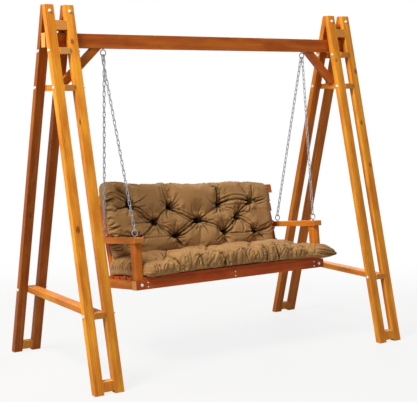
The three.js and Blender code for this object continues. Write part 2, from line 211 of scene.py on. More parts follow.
class Wiring:
    """A node tree under construction: each call adds a node and gives its output."""

    def __init__(self, tree):
        self.tree = tree

    def add(self, kind, inputs=(), out=0, **settings):
        node = self.tree.nodes.new(kind)
        for name, value in settings.items():
            setattr(node, name, value)
        self.feed(node, inputs)
        return node.outputs[out]

    def feed(self, node, inputs):
        for key, value in inputs.items() if isinstance(inputs, dict) else enumerate(inputs):
            if isinstance(value, bpy.types.NodeSocket):
                self.tree.links.new(value, node.inputs[key])
            elif value is not None:
                node.inputs[key].default_value = value

    def math(self, operation, *values):
        return self.add("ShaderNodeMath", values, operation=operation)

    def vector(self, operation, *values, out=0):
        return self.add("ShaderNodeVectorMath", values, out, operation=operation)

    def scaled(self, vector, factor):
        return self.add("ShaderNodeVectorMath", {0: vector, 3: factor}, operation="SCALE")

    def step(self, value, low, high):
        """0 below low, 1 above high, smooth between."""
        return self.add("ShaderNodeMapRange", (value, low, high, 0.0, 1.0),
                        interpolation_type="SMOOTHSTEP")

    def fall(self, value, low, high):
        """1 below low, 0 above high, smooth between."""
        return self.math("SUBTRACT", 1.0, self.step(value, low, high))

    def mix(self, factor, a, b, blend="MIX"):
        return self.add("ShaderNodeMix", {0: factor, 6: a, 7: b}, 2,
                        data_type="RGBA", blend_type=blend)

    def times(self, tone, red, green, blue):
        """A colour with its red, green and blue each multiplied."""
        return self.mix(1.0, tone, (red, green, blue, 1.0), "MULTIPLY")

    def noise(self, vector, scale, detail=2.0, roughness=0.5, out=0):
        return self.add("ShaderNodeTexNoise", {
            "Vector": vector, "Scale": scale, "Detail": detail, "Roughness": roughness}, out)

    def parts(self, vector):
        return self.add("ShaderNodeSeparateXYZ", (vector,)).node.outputs

    def group(self, tree, inputs):
        node = self.tree.nodes.new("ShaderNodeGroup")
        node.node_tree = tree
        self.feed(node, inputs)
        return node.outputs


def node_group(name, inputs, outputs):
    """A new shader node group, the wiring in it, its inputs and its output node."""
    tree = bpy.data.node_groups.new(name, "ShaderNodeTree")
    for label, kind, default in inputs:
        socket = tree.interface.new_socket(label, in_out="INPUT", socket_type="NodeSocket" + kind)
        socket.default_value = default
    for label, kind in outputs:
        tree.interface.new_socket(label, in_out="OUTPUT", socket_type="NodeSocket" + kind)
    return tree, Wiring(tree), tree.nodes.new("NodeGroupInput").outputs, \
        tree.nodes.new("NodeGroupOutput")


def material(name, base, **plain):
    """A new material with one Principled BSDF; plain numbers are set on its sockets."""
    made = bpy.data.materials.new(name)
    made.use_nodes = True
    made.diffuse_color = (*base, 1)
    shader = made.node_tree.nodes["Principled BSDF"]
    for label, value in plain.items():
        shader.inputs[label.replace("_", " ")].default_value = value
    return made, Wiring(made.node_tree), shader


def rgba(value):
    """A colour with full opacity, as a socket takes it."""
    return (*value, 1.0)


def board_space():
    """Where a point lies in its board, x along the grain, and masks of the ends and the edges."""
    tree, w, given, result = node_group(
        "Board Space",
        [("Turn", "Vector", (0, 0, 0)), ("Middle", "Vector", (0, 0, 0)),
         ("Pith", "Vector", (0, 0.04, 0.02))],
        [("Place", "Vector"), ("End", "Float"), ("Edge", "Float")])
    here = w.add("ShaderNodeTexCoord", out="Object")
    normal = here.node.outputs["Normal"]
    turned = [w.add("ShaderNodeVectorRotate", {"Vector": v, "Rotation": given["Turn"]},
                    rotation_type="EULER_XYZ", invert=True)
              for v in (w.vector("SUBTRACT", here, given["Middle"]), normal)]
    x, y, z = w.parts(w.vector("ABSOLUTE", turned[1]))
    flat = w.math("MAXIMUM", x, w.math("MAXIMUM", y, z))
    w.feed(result, {
        "Place": w.vector("SUBTRACT", turned[0], given["Pith"]),
        "End": w.step(x, 0.72, 0.94),
        "Edge": w.fall(flat, 0.9, 0.99)})
    return tree


def wood_grain():
    """Growth rings about the pith, fibres along the grain and a few knots, each from 0 to 1."""
    tree, w, given, result = node_group(
        "Wood Grain",
        [("Place", "Vector", (0, 0, 0)), ("Ring Width", "Float", 0.006),
         ("Knot Place", "Vector", (9, 9, 9)), ("Knot Size", "Float", 0.012)],
        [("Rings", "Float"), ("Fibre", "Float"), ("Knot", "Float"), ("Blotch", "Float")])
    place = given["Place"]
    slow = w.vector("MULTIPLY", place, (0.9, 5.0, 5.0))
    sway = w.vector("SUBTRACT", w.noise(slow, 1.0, 2.0, out="Color"), (0.5, 0.5, 0.5))
    cells = w.add("ShaderNodeTexVoronoi", {
        "Vector": w.vector("MULTIPLY", place, (6.0, 10.0, 10.0)), "Scale": 1.0, "Randomness": 1.0})
    near = w.math("ADD", cells, w.math("MULTIPLY", 0.08, w.noise(place, 60.0, 2.0)))
    lot = w.add("ShaderNodeSeparateColor", (cells.node.outputs["Color"],))
    some = w.math("LESS_THAN", lot, 0.3)
    core = w.math("MULTIPLY", some, w.fall(near, 0.12, 0.2))
    halo = w.math("MULTIPLY", some, w.fall(near, 0.12, 0.5))
    off = w.vector("MULTIPLY", w.vector("SUBTRACT", place, given["Knot Place"]), (0.7, 1.0, 1.0))
    off = w.math("DIVIDE", w.vector("LENGTH", off, out=1), given["Knot Size"])
    off = w.math("ADD", off, w.math("MULTIPLY", 0.9, w.noise(place, 110.0, 2.0)))
    core = w.math("MAXIMUM", core, w.fall(off, 0.9, 1.7))
    halo = w.math("MAXIMUM", halo, w.fall(off, 0.9, 4.5))
    _, y, z = w.parts(w.vector("ADD", place, w.vector("MULTIPLY", sway, (0.0, 0.03, 0.03))))
    reach = w.math("SQRT", w.math("ADD", w.math("MULTIPLY", y, y), w.math("MULTIPLY", z, z)))
    bulge = w.math("MULTIPLY", halo, 0.018)
    turns = w.math("DIVIDE", w.math("ADD", reach, bulge), given["Ring Width"])
    late = w.math("FRACT", turns)
    rings = w.math("MULTIPLY", w.math("POWER", late, 1.8), w.fall(late, 0.93, 1.0))
    fine = w.noise(w.vector("MULTIPLY", place, (9.0, 420.0, 420.0)), 1.0, 3.0, 0.6)
    broad = w.noise(w.vector("MULTIPLY", place, (1.5, 42.0, 42.0)), 1.0, 3.0, 0.6)
    w.feed(result, {
        "Rings": rings,
        "Fibre": w.math("ADD", w.math("MULTIPLY", fine, 0.4), w.math("MULTIPLY", broad, 0.6)),
        "Knot": core,
        "Blotch": w.noise(w.vector("MULTIPLY", place, (4.5, 16.0, 16.0)), 1.0, 3.0, 0.55)})
    return tree


def stained_timber():
    """Colour, roughness and height of an oiled and stained board."""
    tree, w, given, result = node_group(
        "Stained Timber",
        [("Turn", "Vector", (0, 0, 0)), ("Middle", "Vector", (0, 0, 0)),
         ("Pith", "Vector", (0, 0.04, 0.02)), ("Stain", "Color", (0.6, 0.3, 0.1, 1)),
         ("End Grain", "Color", (0.7, 0.4, 0.2, 1)), ("Knot Colour", "Color", (0.1, 0.03, 0.01, 1)),
         ("Ring Width", "Float", 0.006), ("Wear", "Float", 0.55),
         ("Knot Place", "Vector", (9, 9, 9)), ("Knot Size", "Float", 0.012)],
        [("Colour", "Color"), ("Roughness", "Float"), ("Height", "Float")])
    place, end, edge = w.group(bpy.data.node_groups["Board Space"], {
        key: given[key] for key in ("Turn", "Middle", "Pith")})
    rings, fibre, knot, blotch = w.group(bpy.data.node_groups["Wood Grain"], {
        "Place": place, **{key: given[key] for key in ("Ring Width", "Knot Place", "Knot Size")}})
    stain = given["Stain"]
    early = w.times(stain, 1.14, 1.2, 1.1)
    late = w.times(stain, 0.72, 0.56, 0.42)
    face = w.mix(w.math("MULTIPLY", rings, 0.75), early, late)
    streak = w.math("SUBTRACT", w.math("MULTIPLY", fibre, 1.7), 0.85)
    tone = w.vector("ADD", (1.0, 1.0, 1.0), w.scaled((0.75, 1.0, 1.2), streak))
    face = w.mix(1.0, face, tone, "MULTIPLY")
    patch = w.step(blotch, 0.42, 0.66)
    face = w.mix(w.math("MULTIPLY", patch, 0.8), face, w.times(face, 0.8, 0.65, 0.45))
    pale = w.math("MULTIPLY", w.fall(blotch, 0.36, 0.5), 0.8)
    face = w.mix(pale, face, w.times(face, 1.1, 1.2, 0.9))
    face = w.mix(w.math("MULTIPLY", knot, 0.75), face, given["Knot Colour"])
    sawn = w.mix(w.math("MULTIPLY", rings, 0.7), given["End Grain"],
                 w.times(given["End Grain"], 0.62, 0.5, 0.42))
    face = w.mix(end, face, w.mix(w.math("MULTIPLY", fibre, 0.35), sawn, stain))
    rubbed = w.math("MULTIPLY", w.math("MULTIPLY", edge, given["Wear"]),
                    w.step(w.noise(place, 35.0, 3.0), 0.35, 0.65))
    face = w.mix(rubbed, face, w.mix(0.55, given["End Grain"], stain))
    gloss = w.math("ADD", 0.42, w.math("MULTIPLY", fibre, 0.2))
    gloss = w.math("ADD", gloss, w.math("MULTIPLY", w.math("ADD", end, rubbed), 0.22))
    height = w.math("SUBTRACT", fibre, w.math("MULTIPLY", rings, 0.45))
    w.feed(result, {
        "Colour": face, "Roughness": w.math("ADD", gloss, w.math("MULTIPLY", knot, -0.08)),
        "Height": w.math("SUBTRACT", height, w.math("MULTIPLY", knot, 0.5))})
    return tree


def zinc_skin():
    """Zinc with its crystals, dull patches and dust."""
    tree, w, given, result = node_group(
        "Zinc Skin",
        [("Zinc", "Color", (0.4, 0.4, 0.4, 1)), ("Crystals", "Float", 260.0),
         ("Dullness", "Float", 0.5)],
        [("Colour", "Color"), ("Roughness", "Float"), ("Height", "Float")])
    here = w.add("ShaderNodeTexCoord", out="Object")
    cells = w.add("ShaderNodeTexVoronoi", {"Vector": here, "Scale": given["Crystals"]}, out="Color")
    tone = w.add("ShaderNodeSeparateColor", (cells,))
    patch = w.step(w.noise(here, 90.0, 4.0, 0.65), 0.42, 0.66)
    dull = w.math("MULTIPLY", patch, given["Dullness"])
    skin = w.mix(w.math("MULTIPLY", tone, 0.35), given["Zinc"],
                 w.times(given["Zinc"], 0.55, 0.57, 0.6))
    skin = w.mix(w.math("MULTIPLY", dull, 0.55), skin,
                 w.times(given["Zinc"], 0.5, 0.46, 0.42))
    rough = w.math("ADD", 0.24, w.math("MULTIPLY", tone, 0.14))
    w.feed(result, {"Colour": skin,
                    "Roughness": w.math("ADD", rough, w.math("MULTIPLY", dull, 0.3)),
                    "Height": w.noise(here, 700.0, 3.0, 0.7)})
    return tree


def plain_weave():
    """Over and under of a plain weave, laid on whichever way the cloth faces."""
    tree, w, given, result = node_group(
        "Plain Weave",
        [("Turn", "Vector", (0, 0, 0)), ("Threads", "Float", 900.0)],
        [("Height", "Float"), ("Gaps", "Float"), ("Slub", "Float")])
    here = w.add("ShaderNodeTexCoord", out="Object")
    place, normal = [
        w.add("ShaderNodeVectorRotate", {"Vector": v, "Rotation": given["Turn"]},
              rotation_type="EULER_XYZ", invert=True)
        for v in (here, here.node.outputs["Normal"])]
    spread = w.vector("POWER", w.vector("ABSOLUTE", normal), (5.0, 5.0, 5.0))
    total = w.vector("DOT_PRODUCT", spread, (1.0, 1.0, 1.0), out=1)
    shares = w.parts(w.scaled(spread, w.math("DIVIDE", 1.0, total)))
    waves = [w.math("SINE", w.math("MULTIPLY", given["Threads"], w.math("MULTIPLY", axis, math.pi)))
             for axis in w.parts(place)]
    height = None
    for axis in range(3):
        one, other = waves[(axis + 1) % 3], waves[(axis + 2) % 3]
        over = w.math("MULTIPLY", one, other)
        lift = w.math("MULTIPLY", shares[axis], w.math("ABSOLUTE", over))
        height = lift if height is None else w.math("ADD", height, lift)
    slub = w.noise(w.vector("MULTIPLY", place, (30.0, 900.0, 900.0)), 1.0, 2.0)
    w.feed(result, {"Height": height, "Slub": slub, "Gaps": w.fall(height, 0.05, 0.45)})
    return tree


# ---------------------------------------------------------------- boards

BRACE_CUTS = 0.3  # what the slanting cuts of a knee brace add to its reach, as a share of its rise

# painted shade: what is left of a stain's red, green and blue on boards darkened as if they stood
# in shade
LEFT_ARM_PAINTED_SHADE = 0.84
# painted shade on the rear stiles, darkest on the left
REAR_STILE_PAINTED_SHADE = {"left": (0.52, 0.36, 0.30), "right": (0.78, 0.62, 0.52)}

# knots that stand out on the front stiles, and their radii
KNOTS = {
    "stile_left_front_inner": ((-0.9453, -0.0776, 1.8457), 0.012),
    "stile_left_front_outer": ((-1.0884, -0.2136, 1.3177), 0.007),
    "stile_right_front_inner": ((0.9042, -0.4095, 0.55), 0.009),
    "stile_right_front_outer": ((1.0659, -0.2679, 1.0925), 0.012),
}
NO_KNOT = (99, 0, 0), 0.01


def lean_way(way):
    """Up a front (1) or rear (-1) stile."""
    return Vector((0, way * LEAN, 1)).normalized()


def on_bench(x, y, z):
    """A direction of the bench's own frame."""
    return (BENCH_FRAME.to_3x3() @ Vector((x, y, z))).normalized()


def grain_of(name):
    """The way a board's grain runs, and the way one of its faces looks."""
    if name.startswith(("stile", "foot_block")):
        return lean_way(1 if "front" in name else -1), X_AXIS
    if name.startswith(("beam_bearer", "brace_tie", "low_tie", "top_block")):
        return Y_AXIS, X_AXIS
    if name.startswith("knee_brace"):
        low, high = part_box(name)
        side = -1 if "left" in name else 1
        rise = high.z - low.z
        run = high.x - low.x - rise * BRACE_CUTS
        return Vector((-side * run, 0, rise)).normalized(), Y_AXIS
    if name.startswith(("side_rail", "seat_bearer", "armrest")):
        return on_bench(0, 1, 0), X_AXIS
    if name.startswith("arm_post"):
        return on_bench(0, 0, 1), X_AXIS
    if name.startswith(("back_post", "back_stile")):
        return on_bench(0, BACK_RAKE, 1), X_AXIS
    if name.startswith("back_slat"):
        return X_AXIS, on_bench(0, BACK_RAKE, 1)
    return X_AXIS, Z_AXIS if name == "beam" else on_bench(0, 0, 1)


def turn_of(along, face):
    """Turn of the frame whose x runs along and whose y looks to face."""
    across = along.cross(face).normalized()
    rows = Matrix((along, across.cross(along), across))
    return rows.transposed().to_euler("XYZ")


def timber_material(name, slot, timber):
    """The finish of one board: its own grain in the stain that its kind of piece has, with painted
    shade on the left armrest, the left side rail and the rear stiles.
    """
    low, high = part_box(name)
    if name.startswith("side_rail") or name == "knee_brace_left":
        slot = "arm_wood"  # the stain alone: these boards are as pale as the armrests
    chance = np.random.default_rng(sum(map(ord, name)) * 31 + len(name))
    angle, off = chance.uniform(0, 2 * math.pi), chance.uniform(0.02, 0.085)
    stain = Vector(getattr(timber, slot)) * chance.uniform(0.92, 1.06)
    sawn = Vector(timber.end_grain)
    # painted shade on the left armrest and the left side rail
    if name in ("armrest_left", "side_rail_left"):
        stain *= LEFT_ARM_PAINTED_SHADE
    # painted shade on the rear stiles
    if name.startswith("stile") and "rear" in name:
        shares = REAR_STILE_PAINTED_SHADE["left" if "left" in name else "right"]
        stain = Vector(v * share for v, share in zip(stain, shares))
    if name.startswith("seat_slat"):
        sawn = stain * 1.15
    elif name.startswith(("top_block", "brace_tie", "low_tie", "armrest")) \
            or name == "beam_bearer_right":
        sawn = sawn.lerp(stain, 0.75)
    made, w, shader = material(
        name + "_timber", stain, Coat_Weight=0.03, Coat_Roughness=0.35, Specular_IOR_Level=0.16)
    middle, turn = (low + high) / 2, turn_of(*grain_of(name))
    pith = Vector((chance.uniform(0, 60), off * math.cos(angle), off * math.sin(angle)))
    knot, size = KNOTS.get(name, NO_KNOT)
    skin = w.group(bpy.data.node_groups["Stained Timber"], {
        "Turn": turn, "Middle": middle, "Pith": pith, "Knot Size": size,
        "Knot Place": turn.to_matrix().transposed() @ (Vector(knot) - middle) - pith,
        "Stain": rgba(stain), "End Grain": rgba(sawn), "Knot Colour": rgba(timber.knot),
        "Ring Width": timber.ring * chance.uniform(0.8, 1.35)})
    bump = w.add("ShaderNodeBump", {
        "Strength": 0.55, "Distance": timber.fibre, "Height": skin["Height"]})
    w.feed(shader, {"Base Color": skin["Colour"], "Roughness": skin["Roughness"], "Normal": bump})
    return made


def ease_edges(piece, radius):
    """Rounds a board's edges, its own mesh left as it is."""
    weld = piece.modifiers.new("joined corners", "WELD")
    weld.merge_threshold = 0.00001
    ease = piece.modifiers.new("eased edges", "BEVEL")
    ease.width = radius
    ease.segments = 3
    ease.limit_method = "ANGLE"
    ease.angle_limit = math.radians(28)
    ease.use_clamp_overlap = True


class SWING_OT_finish_boards(bpy.types.Operator):
    """Ease the edges of every board and give it its own grain"""

    bl_idname = "swing.finish_boards"
    bl_label = "Finish Boards"

    def execute(self, context):
        timber = context.scene.swing_timber
        for build in (board_space, wood_grain, stained_timber):
            build()
        boards = {row["node"]: row["material_slot"] for row in frame["record"]["subparts"]
                  if row["material_slot"].endswith("_wood")}
        if not boards:
            raise RuntimeError("The frame has no boards")
        for name, slot in boards.items():
            piece = frame["nodes"][name]
            finish = timber_material(name, slot, timber)
            for place in piece.material_slots:
                place.material = finish
            ease_edges(piece, timber.edge)
        return {"FINISHED"}


# ---------------------------------------------------------------- ironwork

SAME_SPOT = 0.000002  # points closer than this become one
SHARP = math.radians(38)

# where the bench's bolts and screws stand across it; screws come in pairs
RAIL_BOLT_X, RAIL_SIDE_X, RAIL_SCREW_X = 0.639, 0.661, 0.6
SEAT_SCREWS_X = -0.639, -0.44, 0, 0.44, 0.639
BACK_SCREWS_X = -0.5955, 0, 0.5955


def band(a, b, sides):
    """The faces between two loops of points, which start at a and at b."""
    return [(a + k, a + (k + 1) % sides, b + (k + 1) % sides, b + k) for k in range(sides)]


def sweep(path, radius, sides):
    """A round wire along a closed path: its points and faces."""
    path = np.asarray(path, float)
    ahead = np.roll(path, -1, 0) - np.roll(path, 1, 0)
    ahead /= np.linalg.norm(ahead, axis=1)[:, None]
    side = np.array(Vector(ahead[0]).orthogonal(), float)
    turns = np.arange(sides) * 2 * math.pi / sides
    points, faces = [], []
    for here, way in zip(path, ahead):
        side = side - way * side.dot(way)
        side /= np.linalg.norm(side)
        loop = np.outer(np.cos(turns), side) + np.outer(np.sin(turns), np.cross(way, side))
        points.append(here + radius * loop)
    count = len(path) * sides
    for start in range(0, count, sides):
        faces += band(start, (start + sides) % count, sides)
    return np.concatenate(points), faces


def turned(profile, sides, flats=None):
    """A turned form about +Z from (radius, height) points, the first and last on the axis.
    With flats, their count and distance from the axis, the rim has them, as on a nut."""
    points, faces = [], []
    for radius, height in profile:
        for k in range(sides):
            angle = 2 * math.pi * k / sides
            reach = radius
            if flats and radius > flats[1]:
                sector = math.pi / flats[0]
                reach = min(radius, flats[1] / math.cos((angle + sector) % (2 * sector) - sector))
            points.append((reach * math.cos(angle), reach * math.sin(angle), height))
    for i in range(len(profile) - 1):
        faces += band(i * sides, (i + 1) * sides, sides)
    return np.array(points), faces


def placed(part, matrix):
    """Points and faces, moved by a matrix."""
    points, faces = part
    m = np.array(matrix)
    return points @ m[:3, :3].T + m[:3, 3], faces


def joined(parts):
    """Several lots of points and faces as one."""
    points, faces, start = [], [], 0
    for one, its in parts:
        points.append(one)
        faces += [tuple(start + k for k in face) for face in its]
        start += len(one)
    return np.concatenate(points), faces


def mesh_object(name, part, crisp=False):
    """A new object from points and faces. A crisp one is smooth but for its sharp corners."""
    points, faces = part
    mesh = bpy.data.meshes.new(name)
    mesh.from_pydata([tuple(p) for p in points], [], faces)
    made = bmesh.new()
    made.from_mesh(mesh)
    bmesh.ops.remove_doubles(made, verts=made.verts, dist=SAME_SPOT)
    if crisp:
        bmesh.ops.dissolve_degenerate(made, edges=made.edges, dist=SAME_SPOT)
    bmesh.ops.recalc_face_normals(made, faces=made.faces)
    if crisp:
        for face in made.faces:
            face.smooth = True
        for edge in made.edges:
            edge.smooth = len(edge.link_faces) == 2 and edge.calc_face_angle() < SHARP
    made.to_mesh(mesh)
    made.free()
    piece = bpy.data.objects.new(name, mesh)
    bpy.context.collection.objects.link(piece)
    return piece


def build_piece(name, part, finish, body, replaces=()):
    """A shown piece of ironwork from points and faces."""
    piece = mesh_object(name, part, crisp=True)
    piece.data.materials.append(finish)
    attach(piece, body)
    if replaces:
        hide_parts(*replaces)


def zinc_material(name, tone, dullness, crystals):
    """A zinc finish of this name, made when it is first asked for."""
    if name in bpy.data.materials:
        return bpy.data.materials[name]
    if "Zinc Skin" not in bpy.data.node_groups:
        zinc_skin()
    made, w, shader = material(name, tone, Metallic=0.6, Specular_IOR_Level=0.5)
    skin = w.group(bpy.data.node_groups["Zinc Skin"], {
        "Zinc": rgba(tone), "Dullness": dullness, "Crystals": crystals})
    bump = w.add("ShaderNodeBump", {"Strength": 0.3, "Distance": 0.0002, "Height": skin["Height"]})
    w.feed(shader, {"Base Color": skin["Colour"], "Roughness": skin["Roughness"], "Normal": bump})
    return made


def galvanised(iron):
    """The dull finish of rings and chains."""
    return zinc_material("galvanised_wire", iron.zinc, dullness=0.8, crystals=420.0)


def bright_zinc(iron):
    """The bright finish of bolts, nuts and screws."""
    return zinc_material("bright_zinc", iron.bright, dullness=0.35, crystals=300.0)


def eye_ring():
    """A screw eye: a welded ring on a neck that flares into a collar. Its foot is on z = 0."""
    centre = RING_NECK + RING_WIRE + RING_RADIUS
    steps = 56
    turns = [2 * math.pi * k / steps for k in range(steps)]
    path = [(RING_RADIUS * math.sin(a), 0, centre - RING_RADIUS * math.cos(a)) for a in turns]
    ring = sweep(path, RING_WIRE, 16)
    neck = turned([(0, 0.0005), (0.0046, 0.0005), (0.0042, 0.0016), (0.0034, 0.003),
                   (0.0031, 0.0045), (0.0031, 0.0062), (0.0026, 0.0075), (0, 0.008)], 20)
    collar = turned([(0, 0), (0.0074, 0), (0.008, 0.0005), (0.008, 0.0014), (0.0073, 0.002),
                     (0.0045, 0.0022), (0, 0.0022)], 28)
    weld = turned([(0, -0.0016), (0.0024, -0.0013), (0.0034, -0.0005), (0.0034, 0.0005),
                   (0.0024, 0.0013), (0, 0.0016)], 16)
    weld = placed(weld, Matrix.Translation((0, 0, 2 * RING_WIRE + RING_NECK - 0.003)))
    return joined([ring, neck, collar, weld])


class SWING_OT_add_rings(bpy.types.Operator):
    """Make the six screw eyes that carry the chains"""

    bl_idname = "swing.add_rings"
    bl_label = "Add Rings"

    def execute(self, context):
        finish = galvanised(context.scene.swing_iron)
        upside_down = Matrix.Rotation(math.pi, 4, "Y")
        under_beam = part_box("beam")[0].z
        for hand, side in SIDES:
            spot = Matrix.Translation((side * HANG_X, 0, under_beam)) @ upside_down
            name = f"beam_eye_{hand}"
            ring = placed(eye_ring(), spot)
            build_piece("ring_" + name, ring, finish, STAND, [name])
            for end in ENDS:
                spot = BENCH_FRAME @ Matrix.Translation((side * ARM_EYE_X, ARM_EYE_Y[end], ARM_TOP))
                name = f"arm_eye_{hand}_{end}"
                ring = placed(eye_ring(), spot)
                build_piece("ring_" + name, ring, finish, BENCH, [name])
        return {"FINISHED"}


def link(long):
    """One welded link standing along Z in the XZ plane, long over its wire's centre line."""
    reach = LINK_WIDTH / 2 - LINK_WIRE
    straight = long / 2 - reach
    steps = 11
    path = []
    for way in (1, -1):
        for k in range(steps):
            angle = math.pi * k / (steps - 1)
            across, rise = reach * math.cos(angle), straight + reach * math.sin(angle)
            path.append((way * across, 0, way * rise))
    wire = sweep(path, LINK_WIRE, 10)
    weld = turned([(0, -0.0022), (0.0025, -0.0018), (0.0029, -0.0006), (0.0029, 0.0006),
                   (0.0025, 0.0018), (0, 0.0022)], 12)
    return joined([wire, placed(weld, Matrix.Translation((reach, 0, 0)))])


def chain(top, low):
    """A taut chain between the middles of two ring wires, its end links square to the rings."""
    along = low - top
    span = along.length
    along.normalize()
    bow = (RING_WIRE + GAP) / math.cos(BOW_SLOPE) + LINK_WIRE
    top_bow = bow + (TOP_SPREAD + LINK_WIRE) ** 2 / (2 * RING_RADIUS)
    step = 2 * LINK_WIRE - LINK_BITE
    long = (span + top_bow + bow + (LINKS - 1) * step) / LINKS
    across = X_AXIS.cross(along).normalized()
    other = along.cross(across).normalized()
    one = link(long)
    parts = []
    for i in range(LINKS):
        wide = other if i % 2 else across
        spot = Matrix((wide, along.cross(wide), along)).transposed().to_4x4()
        spot.translation = top + along * (-top_bow + long / 2 + i * (long - step))
        parts.append(placed(one, spot))
    return joined(parts)


class SWING_OT_add_chains(bpy.types.Operator):
    """Make the four chains, each from its ring under the beam to its ring on an armrest"""

    bl_idname = "swing.add_chains"
    bl_label = "Add Chains"

    def execute(self, context):
        finish = galvanised(context.scene.swing_iron)
        lowest_wire = ARM_TOP + RING_NECK + RING_WIRE + 2 * RING_RADIUS
        for hand, side in SIDES:
            for end, spread in (("front", TOP_SPREAD), ("rear", -TOP_SPREAD)):
                top = Vector((side * (HANG_X + spread), 0, HINGE_Z))
                low = BENCH_FRAME @ Vector((side * ARM_EYE_X, ARM_EYE_Y[end], lowest_wire))
                name = f"chain_{hand}_{end}"
                build_piece("links_" + name, chain(top, low), finish, BENCH, [name])
        return {"FINISHED"}


def carriage_head(iron):
    """The domed head of a carriage bolt, its foot on z = 0."""
    rise, wide = iron.bolt_rise, iron.bolt_head
    turns = [math.pi / 2 * k / 7 for k in range(7)]
    dome = [(wide * math.cos(a), rise * math.sin(a)) for a in turns]
    return turned([(0, 0), *dome, (0, rise)], 28)


def nut_on_bolt(iron):
    """A washer on z = 0, a nut on it and the bolt's thread standing out of that."""
    flat = iron.nut
    washer = turned([(0, 0), (flat * 1.5, 0), (flat * 1.55, 0.0003), (flat * 1.55, 0.0012),
                     (flat * 1.5, 0.0015), (0, 0.0015)], 28)
    nut = turned([(0, 0.0015), (flat * 1.02, 0.0015), (flat * 1.155, 0.0021),
                  (flat * 1.155, 0.0067), (flat * 1.02, 0.0073), (flat * 0.7, 0.0073),
                  (0, 0.0071)], 48, (6, flat))
    thread = [(0, 0.006)]
    for k in range(5):
        base = 0.0072 + k * 0.00125
        thread += [(0.0036, base), (0.004, base + 0.0006)]
    stub = turned([*thread, (0.0036, 0.0135), (0.003, 0.014), (0, 0.0142)], 20)
    return joined([washer, nut, stub])


def screw_head(iron):
    """A flat screw head with its socket, its foot on z = 0."""
    wide = iron.screw_head
    return turned([(0, 0), (wide, 0), (wide, 0.0004), (wide * 0.93, 0.0009), (wide * 0.55, 0.0012),
                   (wide * 0.5, 0.0012), (wide * 0.3, 0.0004), (0, 0.0004)], 24)


def facing(point, way):
    """A frame at a point whose z looks along way."""
    turn = Vector(way).to_track_quat("Z", "Y").to_matrix().to_4x4()
    return Matrix.Translation(point) @ turn


def front_face(z):
    """Y of the front face of the front stiles at a height."""
    return -(FOOT_Y - LEAN * z)


def stand_bolts(iron):
    """Bolts of the side frames: through the tops from front to rear, and across at each tie."""
    head, nut = carriage_head(iron), nut_on_bolt(iron)
    top_level = FRAME_HEIGHT - TOP_BOLT_DROP
    levels = [sum((v.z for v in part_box(name)), 0.0) / 2
              for name in ("beam_bearer_left", "brace_tie_left", "low_tie_left")]
    parts = {"left": [], "right": []}
    for hand, side in SIDES:
        rows = [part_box(f"stile_{hand}_front_{row}") for row in ("outer", "inner")]
        for low, high in rows:
            middle = (low.x + high.x) / 2
            y = front_face(top_level)
            parts[hand].append(placed(head, facing((middle, y, top_level), (0, -1, LEAN))))
            parts[hand].append(placed(nut, facing((middle, -y, top_level), (0, 1, LEAN))))
        outer = max(abs(v.x) for v in rows[0]) * side
        inner = min(abs(v.x) for v in rows[1]) * side
        for level in levels:
            for way in (1, -1):
                y = way * (front_face(level) + STILE_RUN / 2)
                heads, nuts = (outer, inner) if side < 0 else (inner, outer)
                parts[hand].append(placed(head, facing((heads, y, level), (-1, 0, 0))))
                parts[hand].append(placed(nut, facing((nuts, y, level), (1, 0, 0))))
    return parts


def bench_bolts(iron):
    """Bolts and screws of the bench, in its own frame."""
    head, screw = carriage_head(iron), screw_head(iron)
    forward = (0, -1, 0)
    parts = []

    def add(part, point, way):
        parts.append(placed(part, BENCH_FRAME @ facing(point, way)))

    for side in (-1, 1):
        add(head, (side * RAIL_BOLT_X, RAIL_FRONT, RAIL_MIDDLE), forward)
        for lift in (-0.012, 0.012):
            add(screw, (side * RAIL_SCREW_X, RAIL_FRONT, RAIL_MIDDLE + lift), forward)
        for y in ARM_EYE_Y.values():
            add(head, (side * RAIL_SIDE_X, y, RAIL_MIDDLE), (side, 0, 0))
    for lift in (-0.012, 0.012):
        add(screw, (0, RAIL_FRONT, RAIL_MIDDLE + lift), forward)
    for i in range(SEAT_SLATS):
        y = RAIL_FRONT + i * SEAT_SLAT_STEP + SEAT_SLAT_HALF
        for x in SEAT_SCREWS_X:
            if i == 0 and abs(x) > RAIL_SCREW_X:
                continue  # the arm posts stand there
            for dy in (-0.014, 0.014):
                add(screw, (x, y + dy, 0), (0, 0, 1))
    for i in range(BACK_SLATS):
        z = BACK_SLAT_TOP - BACK_SLAT_STEP * i - BACK_SLAT_HALF
        y = BACK_LINE + BACK_RAKE * z - BACK_SLAT_THICK * math.hypot(1, BACK_RAKE)
        for x in BACK_SCREWS_X:
            for dz in (-0.013, 0.013):
                add(screw, (x, y + BACK_RAKE * dz, z + dz), (0, -1, BACK_RAKE))
    return parts


class SWING_OT_add_bolts(bpy.types.Operator):
    """Add the carriage bolts, nuts and screws of the stand and the bench"""

    bl_idname = "swing.add_bolts"
    bl_label = "Add Bolts"

    def execute(self, context):
        iron = context.scene.swing_iron
        finish = bright_zinc(iron)
        for hand, parts in stand_bolts(iron).items():
            build_piece(f"bolts_{hand}", joined(parts), finish, STAND)
        build_piece("bolts_bench", joined(bench_bolts(iron)), finish, BENCH)
        return {"FINISHED"}


# ---------------------------------------------------------------- cushions

